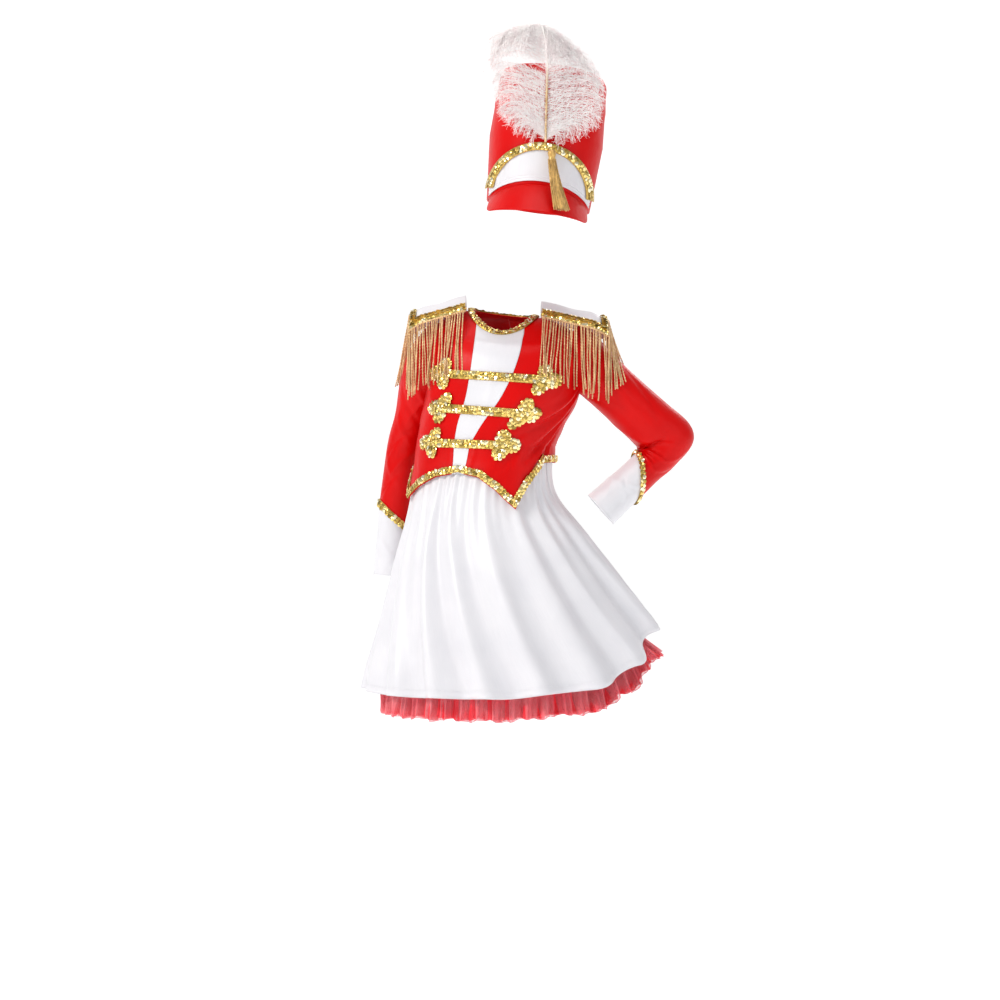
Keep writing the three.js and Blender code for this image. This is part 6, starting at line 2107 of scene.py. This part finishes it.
class COSTUME_OT_epaulettes(bpy.types.Operator):
    """White satin shoulder boards with a sequin edge"""
    bl_idname = "costume.epaulettes"
    bl_label = "Shoulder boards"

    def execute(self, context):
        settings = settings_of(context)
        for side, board in BOARDS.items():
            sink = board_sink(side, board)
            lines = np.linspace(0, 1, BOARD_STEPS), np.linspace(-1, 1, BOARD_STEPS)
            along, across = np.meshgrid(*lines, indexing="ij")
            grid = board_point(board, along, across)
            turn = BOARD_PUCKERS["count"] * along * math.pi + BOARD_PUCKERS["slant"] * across
            near_edge = soft_step(np.abs(across), *BOARD_PUCKERS["start"])
            puckers = BOARD_PUCKERS["height"] * np.cos(turn) * near_edge
            turn = BOARD_DENTS["count"] * along * math.pi + BOARD_DENTS["slant"] * across
            dents = BOARD_DENTS["height"] * np.sin(turn) * (1 - across ** 2)
            grid[..., 2] += puckers + dents - BOARD_SUNK - sink
            cloth_piece(f"epaulette_{side}", f"epaulette_{side}_cloth", grid, False, settings.cloth_wall,
                        "white", "white_satin", (*board["neck"], BOARD_HUB_Z))
            surface = self.edge_surface(board, sink)
            name = f"epaulette_trim_{side}"
            tape = trim_tape(f"{name}_tape", surface, 0, 1, 1.0, TRIM_WIDTH - 1, BOARD_TRIM_COLUMNS, False)
            finish_piece(tape, [name], "gold_sequin")
            discs = sequins_on(f"{name}_sequins", surface, *BOARD_TRIM_SPAN, BOARD_TRIM_ROWS, settings,
                               SEEDS["boards"])
            finish_piece(discs, [name], "gold_sequin")
            rim = sequins_on(f"{name}_rim", self.rim_surface(board, sink), *BOARD_TRIM_SPAN, (1.0,), settings,
                             SEEDS["board_rims"], RIM_PITCH)
            finish_piece(rim, [name], "gold_sequin")
        return {"FINISHED"}

    def rim_surface(self, board, sink):
        """The outer rim of the trim, where lift moves a point outwards and a little up."""
        surface = self.edge_surface(board, sink)
        edge = board_edge(board, sink)
        outs = edge_outs(edge, board["side"])
        run = path_length(edge)

        def rim(share, row, lift):
            share = np.asarray(share, float)
            out = along_line(share * run[-1], run, outs)
            rise = lift - TAPE_HEIGHT
            place = surface(share, RIM_INSET, row) + RIM_OUT * rise * out
            place[..., 2] += RIM_UP * rise
            return place
        return rim

    def edge_surface(self, board, sink):
        """Points inwards of the board's edge, which runs from the front round its tip to the back."""
        edge = board_edge(board, sink)
        outs = edge_outs(edge, board["side"])
        run = path_length(edge)
        inward = np.sign(board["end"][0] - board["neck"][0])

        def surface(share, inset, lift):
            share, inset = np.broadcast_arrays(np.asarray(share, float), np.asarray(inset, float))
            at = share * run[-1]
            place = along_line(at, run, edge) - along_line(at, run, outs) * inset[..., None]
            limit = inward * board["neck"][0] + 1
            place[..., 0] = inward * np.maximum(inward * place[..., 0], limit)
            along = (place[..., 0] - board["neck"][0]) / (board["end"][0] - board["neck"][0])
            centre = mix(board["neck"][1], board["end"][1], along)
            half = mix(*BOARD_HALF_DEPTH, along) * board_corner(along)
            across = np.clip((place[..., 1] - centre) / half, -1, 1)
            top = board_point(board, along, across)[..., 2] - sink
            place[..., 2] = top + BOARD_TRIM_LIFT + np.asarray(lift)
            return place
        return surface


class COSTUME_OT_fringe(bpy.types.Operator):
    """Twisted gold bullion fringe round the shoulder boards"""
    bl_idname = "costume.fringe"
    bl_label = "Fringe"

    def execute(self, context):
        settings = settings_of(context)
        behind = node_bvh([
            *BODICE_PANELS, "sleeve_right", "sleeve_left",
            *[f"frog_end_{i}_{side}" for i in (1, 2, 3) for side in ("right", "left")],
        ])
        for side, board in BOARDS.items():
            edge = board_edge(board, board_sink(side, board))
            outs = edge_outs(edge, board["side"])
            run = path_length(edge)
            count = int(run[-1] * MM / settings.strand_pitch)
            random = np.random.default_rng(FRINGE_SEEDS[side])
            lines = []
            girths = []
            for layer, (offset, clearance) in enumerate(FRINGE_LAYERS):
                for i in range(count):
                    jitter = random.uniform(-FRINGE_JITTER, FRINGE_JITTER)
                    t = (i + (1 + layer) / 2 + jitter) / (count + 1)
                    root = along_line(t * run[-1], run, edge)
                    out = along_line(t * run[-1], run, outs)
                    out /= np.linalg.norm(out)
                    root = root + out * offset - DOWN * FRINGE_RAISE
                    out = fall_way(board, root, out)
                    length = np.interp(t, *FRINGE_LENGTHS) * (1 + random.uniform(*FRINGE_LENGTH_CHANGE))
                    line = hang_line(behind, root, out, length, clearance)
                    share = np.linspace(0, 1, len(line))
                    sway = self.sway(random, t, layer, share)
                    lines.append(line + np.cross(out, DOWN) * sway[:, None])
                    girth = random.uniform(*FRINGE_GIRTH)
                    girths.append(np.where(share > STRAND_END, FRINGE_END_GIRTH, girth))
            fringe = lines_object(f"fringe_{side}_strands", lines, girths)
            grow(fringe, TREES["strands"], {
                **FRINGE_STRAND, "Strand radius": settings.strand_radius, "Material": MATERIALS["fringe"]})
            fringe.data.shade_smooth()
            finish_piece(fringe, [f"fringe_{side}"], "gold_fringe")
            heading = self.heading(edge, outs, side)
            finish_piece(heading, [f"fringe_{side}"], "gold_fringe")
        return {"FINISHED"}

    def sway(self, random, t, layer, share):
        """How far a strand leans along the edge: strands lean in clumps, and ripple a little."""
        loose = random.uniform(-FRINGE_CLUMP["loose"], FRINGE_CLUMP["loose"])
        clump = FRINGE_CLUMP["height"] * math.sin(t * FRINGE_CLUMP["turn"] + layer) + loose
        phase = random.uniform(0, FRINGE_RIPPLE["phase"])
        ripple = FRINGE_RIPPLE["height"] * np.sin(share * FRINGE_RIPPLE["turn"] + phase) * share
        return clump * share ** FRINGE_CLUMP["power"] + ripple

    def heading(self, edge, outs, side):
        """The woven strip that the strands hang from."""
        def surface(share, height, lift):
            share, height = np.broadcast_arrays(np.asarray(share, float), np.asarray(height, float))
            at = share * (len(edge) - 1)
            index = np.arange(len(edge))
            stand = (HEADING["stand"] + np.asarray(lift))[..., None]
            place = along_line(at, index, edge) + along_line(at, index, outs) * stand
            place[..., 2] += height
            return place
        strip = trim_tape(f"fringe_{side}_heading", surface, 0, 1, HEADING["low"], HEADING["high"],
                          HEADING["columns"], False, height=HEADING["height"])
        strip.data.materials.clear()
        strip.data.materials.append(MATERIALS["fringe"])
        return strip


HAT_CREASES = (
    (-150, 40, -100, 90, 7, 1.2, 6),
    (110, 60, 150, 130, 7, 1.2, 6),
    (60, 120, 100, 165, 6, 1.0, 5),
    (-60, 130, -96, 170, 6, 1.0, 5),
    (170, 30, 200, 110, 7, -1.0, 5),
    (-30, 150, 24, 160, 5, 0.8, 4),
)
BAND_CREASES = (
    (-52, 20, -50, 40, 2.5, 1.0, 2),
    (-44, 22, -42, 52, 2.2, -0.9, 2),
    (-38, 24, -34, 58, 2.5, 0.9, 2),
    (-26, 28, -25, 60, 2.2, 0.5, 1),
    (30, 26, 34, 60, 2.5, 0.6, 2),
    (46, 20, 44, 46, 2.5, -0.6, 2),
)


class COSTUME_OT_hat(bpy.types.Operator):
    """Tall hat with a white front band, a sequin arch, a visor and a tassel"""
    bl_idname = "costume.hat"
    bl_label = "Hat"

    def execute(self, context):
        settings = settings_of(context)
        turns = np.arange(HAT_COLUMNS) * 360 / HAT_COLUMNS
        rim_height = HAT_RINGS[-1][0]
        azimuth, height = np.meshgrid(turns, np.linspace(0, rim_height, HAT_ROWS))
        crease = crease_height(HAT_CREASES, azimuth, height, HAT_CREASE_STEP, 1.0, 360)
        crown = cloth_shell("hat_crown_cloth", hat_to_row(hat_point(azimuth, height, crease)), True, HAT_WALL,
                            MATERIALS["red"])
        finish_piece(crown, ["hat_crown"], "hat_red")
        width, depth = hat_ring(rim_height)
        turn = np.radians(turns)
        rings = []
        for z, scale in HAT_TOP:
            rings.append(np.stack([width * scale * np.sin(turn), -depth * scale * np.cos(turn),
                                   np.full(turn.shape, float(z))], axis=-1))
        under = [ring + DOWN * HAT_WALL for ring in rings[:0:-1]]
        rim = rings[0] * np.array([HAT_TOP_RIM, HAT_TOP_RIM, 1])
        top = smooth_solid("hat_top_cloth", hat_to_row(np.stack([*under, rim, *rings])), MATERIALS["red"])
        finish_piece(top, ["hat_top"], "hat_red")
        self.band()
        lay_trim("hat_braid", hat_braid_surface, (-BAND_SPAN, BAND_SPAN), (0.0, HAT_BRAID_WIDTH),
                 HAT_BRAID_ROWS, HAT_BRAID_COLUMNS, False, settings, SEEDS["hat_braid"], 1)
        self.visor()
        self.tassel()
        return {"FINISHED"}

    def band(self):
        azimuths = np.linspace(-VISOR_SPAN, VISOR_SPAN, BAND_COLUMNS)
        azimuth, share = np.meshgrid(azimuths, np.linspace(0, 1, BAND_ROWS))
        height = mix(visor_seam_height(azimuth) + 1, arch_height(azimuth) - 2, share)
        crease = crease_height(BAND_CREASES, azimuth, height, HAT_CREASE_STEP, 1.0)
        above = height - visor_seam_height(azimuth)
        seams = sum(np.exp(-((above - rise) / BAND_SEAMS["width"]) ** 2) for rise in BAND_SEAMS["rises"])
        folds = BAND_CREASE * crease * (1 - soft_step(share, *BAND_FADE))
        lift = BAND_LIFT + folds - BAND_SEAMS["depth"] * seams
        grid = hat_to_row(hat_point(azimuth, height, lift))
        band = cloth_shell("hat_band_cloth", grid, False, BAND_WALL, MATERIALS["white"], hub=HAT_PLACE)
        finish_piece(band, ["hat_band"], "white_satin")
        declare_cloth("hat_band")

    def visor(self):
        azimuths = np.linspace(-VISOR_SPAN, VISOR_SPAN, BAND_COLUMNS)
        azimuth, share = np.meshgrid(azimuths, np.linspace(0, 1, VISOR_ROWS))
        grid = hat_to_row(visor_point(azimuth, share))
        visor = cloth_shell("hat_visor_cloth", grid, False, VISOR_WALL, MATERIALS["red"], hub=HAT_PLACE)
        finish_piece(visor, ["hat_visor"], "hat_red")

    def tassel(self):
        behind = node_bvh(["hat_visor", "hat_band", "hat_crown"])
        out = np.array([0.0, -1.0, 0.0])
        side = np.cross(out, DOWN)
        _, depth = hat_ring(TASSEL["z"])
        top = hat_to_row([TASSEL["x"], -depth - TASSEL["radius"] - TASSEL["stand"], TASSEL["z"]])
        turn = np.arange(TASSEL_CORNERS) * 2 * math.pi / TASSEL_CORNERS
        circle = np.cos(turn)[:, None] * out + np.sin(turn)[:, None] * side
        rings = np.stack([top + DOWN * fall + size * TASSEL["radius"] * circle for fall, size in TASSEL_HEAD])
        head = smooth_solid("hat_tassel_head", rings, MATERIALS["tassel"])
        finish_piece(head, ["hat_tassel"], "gold_fringe")
        random = np.random.default_rng(TASSEL_SEED)
        lines = []
        girths = []
        for i in range(TASSEL_COUNT):
            around = i * GOLDEN_TURN
            radius = TASSEL["radius"] * TASSEL_FILL * math.sqrt((i + 1 / 2) / TASSEL_COUNT)
            offset = radius * (math.cos(around) * out + math.sin(around) * side)
            root = top + DOWN * (TASSEL["length"] - 2) + offset
            length = TASSEL["strands"] * (1 + random.uniform(*TASSEL_LENGTH_CHANGE))
            clearance = TASSEL_CLEARANCE[0] + TASSEL_CLEARANCE[1] * (1 + math.cos(around))
            line = hang_line(behind, root, out, length, clearance, TASSEL_STEPS)
            share = np.linspace(0, 1, len(line))
            splay = math.sin(around) * radius * TASSEL_SPLAY * share ** TASSEL_SPLAY_POWER
            splay = splay + TASSEL_LEAN * share ** TASSEL_LEAN_POWER
            lines.append(line + side * splay[:, None])
            girths.append(np.where(share > STRAND_END, TASSEL_END_GIRTH, 1.0))
        strands = lines_object("hat_tassel_strands", lines, girths)
        grow(strands, TREES["strands"], {**TASSEL_STRAND, "Material": MATERIALS["tassel"]})
        strands.data.shade_smooth()
        finish_piece(strands, ["hat_tassel"], "gold_fringe")


class COSTUME_OT_plume(bpy.types.Operator):
    """White ostrich plume in front of the hat: a quill with drooping, fluffy barbs"""
    bl_idname = "costume.plume"
    bl_label = "Plume"

    def execute(self, context):
        settings = settings_of(context)
        middle, _ = plume_middle(np.linspace(0, PLUME_LAST, QUILL_STEPS))
        quill = lines_object("plume_quill_shaft", [hat_to_row(middle)],
                             [np.linspace(1, QUILL_TIP_GIRTH, QUILL_STEPS)])
        grow(quill, TREES["strands"], {**QUILL_STRAND, "Material": MATERIALS["quill"]})
        quill.data.shade_smooth()
        finish_piece(quill, ["plume_quill"], "quill")
        random = np.random.default_rng(PLUME_SEED)
        lines = []
        girths = []
        for side in (-1, 1):
            for i in range(settings.barb_count):
                share = (i + random.uniform(0, 1)) / settings.barb_count
                place = BARB_START + (PLUME_LAST - BARB_END) * share
                if side < 0 and PLUME_GAP[0] < place < PLUME_GAP[1] and i % GAP_KEEP:
                    continue
                tip = soft_step(place, BARB_TIP_START, PLUME_LAST)
                upper = soft_step(place, *PLUME_GAP)
                length = random.uniform(mix(*BARB_SHORTEST, upper), mix(*BARB_LONGEST, upper))
                lift = (mix(*BARB_LIFT, tip) + BARB_UPPER_LIFT * upper) * random.uniform(*BARB_LIFT_CHANGE)
                droop = mix(*BARB_DROOP, tip) + BARB_UPPER_DROOP * upper
                droop = droop * random.uniform(*BARB_DROOP_CHANGE)
                line = barb_line(place, side, length, lift, droop, random.uniform(*BARB_SWAY))
                lines.append(line)
                girths.append(np.linspace(1, BARB_TIP_GIRTH, len(line)))
        barbs = lines_object("plume_vane_barbs", lines, girths)
        grow(barbs, TREES["plume"], {"Seed": BARB_SEED, "Material": MATERIALS["feather"]})
        finish_piece(barbs, ["plume_vane"], "feather")
        return {"FINISHED"}


class COSTUME_OT_stage(bpy.types.Operator):
    """Pale floor and soft studio light"""
    bl_idname = "costume.stage"
    bl_label = "Studio"

    def execute(self, context):
        settings = settings_of(context)
        scene = context.scene
        scene.view_settings.view_transform = "Standard"
        bend = np.radians(np.linspace(0, 90, BACKDROP["steps"]))
        run = np.concatenate([[BACKDROP["front"]], BACKDROP["back"] + BACKDROP["bend"] * np.sin(bend),
                              [BACKDROP["back"] + BACKDROP["bend"]]])
        rise = np.concatenate([[0], BACKDROP["bend"] * (1 - np.cos(bend)), [BACKDROP["top"]]])
        across, line = np.meshgrid([-BACKDROP["half"], BACKDROP["half"]], np.arange(len(run)))
        up = rise[line] + settings.floor_height / MM
        points = np.stack([across, run[line], up], axis=-1).reshape(-1, 3)
        material, _, shader = new_material("pale_floor")
        shader.inputs["Base Color"].default_value = (*FLOOR_COLOUR, 1)
        shader.inputs["Roughness"].default_value = FLOOR_ROUGHNESS
        shader.inputs["Emission Color"].default_value = (1, 1, 1, 1)
        shader.inputs["Emission Strength"].default_value = FLOOR_GLOW
        floor = mesh_object("studio_floor", points, quads(len(run), 2, False, 0, True), material)
        world = bpy.data.worlds.new("studio")
        world.use_nodes = True
        sky = world.node_tree.nodes["Background"]
        sky.inputs["Color"].default_value = (*WORLD_COLOUR, 1)
        sky.inputs["Strength"].default_value = WORLD_STRENGTH
        scene.world = world
        for name, place, size, power, colour in LAMPS:
            lamp = bpy.data.lights.new(name, "AREA")
            lamp.shape = "SQUARE"
            lamp.size = size
            lamp.energy = power
            lamp.color = colour
            obj = link_object(name, lamp)
            obj.location = place
            aim = Vector(LAMP_AIM) - Vector(place)
            obj.rotation_euler = aim.to_track_quat("-Z", "Y").to_euler()
        return {"FINISHED"}


OPERATORS = (
    COSTUME_OT_bodice, COSTUME_OT_sleeves, COSTUME_OT_skirt, COSTUME_OT_petticoat, COSTUME_OT_trims,
    COSTUME_OT_frogging, COSTUME_OT_epaulettes, COSTUME_OT_fringe, COSTUME_OT_hat, COSTUME_OT_plume,
    COSTUME_OT_stage,
)


class COSTUME_PT_panel(bpy.types.Panel):
    bl_idname = "COSTUME_PT_panel"
    bl_label = "Majorette costume"
    bl_space_type = "VIEW_3D"
    bl_region_type = "UI"
    bl_category = "Costume"

    def draw(self, context):
        settings = settings_of(context)
        for key in CostumeSettings.__annotations__:
            self.layout.prop(settings, key)
        for operator in OPERATORS:
            self.layout.operator(operator.bl_idname)


CLASSES = (CostumeSettings, *OPERATORS, COSTUME_PT_panel)


def register():
    for item in CLASSES:
        bpy.utils.register_class(item)
    bpy.types.Scene.costume_settings = bpy.props.PointerProperty(type=CostumeSettings)


def unregister():
    del bpy.types.Scene.costume_settings
    for item in reversed(CLASSES):
        bpy.utils.unregister_class(item)


def make_camera():
    data = bpy.data.cameras.new("photo_camera")
    data.lens = CAMERA_LENS
    data.sensor_width = CAMERA_SENSOR
    data.dof.use_dof = False
    camera = link_object("photo_camera", data)
    camera.location = CAMERA_PLACE
    camera.rotation_euler = (math.pi / 2, 0, 0)
    bpy.context.scene.camera = camera


def main():
    register()
    make_camera()
    make_materials(settings_of(bpy.context))
    make_trees()
    for operator in OPERATORS:
        group, name = operator.bl_idname.split(".")
        getattr(getattr(bpy.ops, group), name)()


if __name__ == "__main__":
    main()
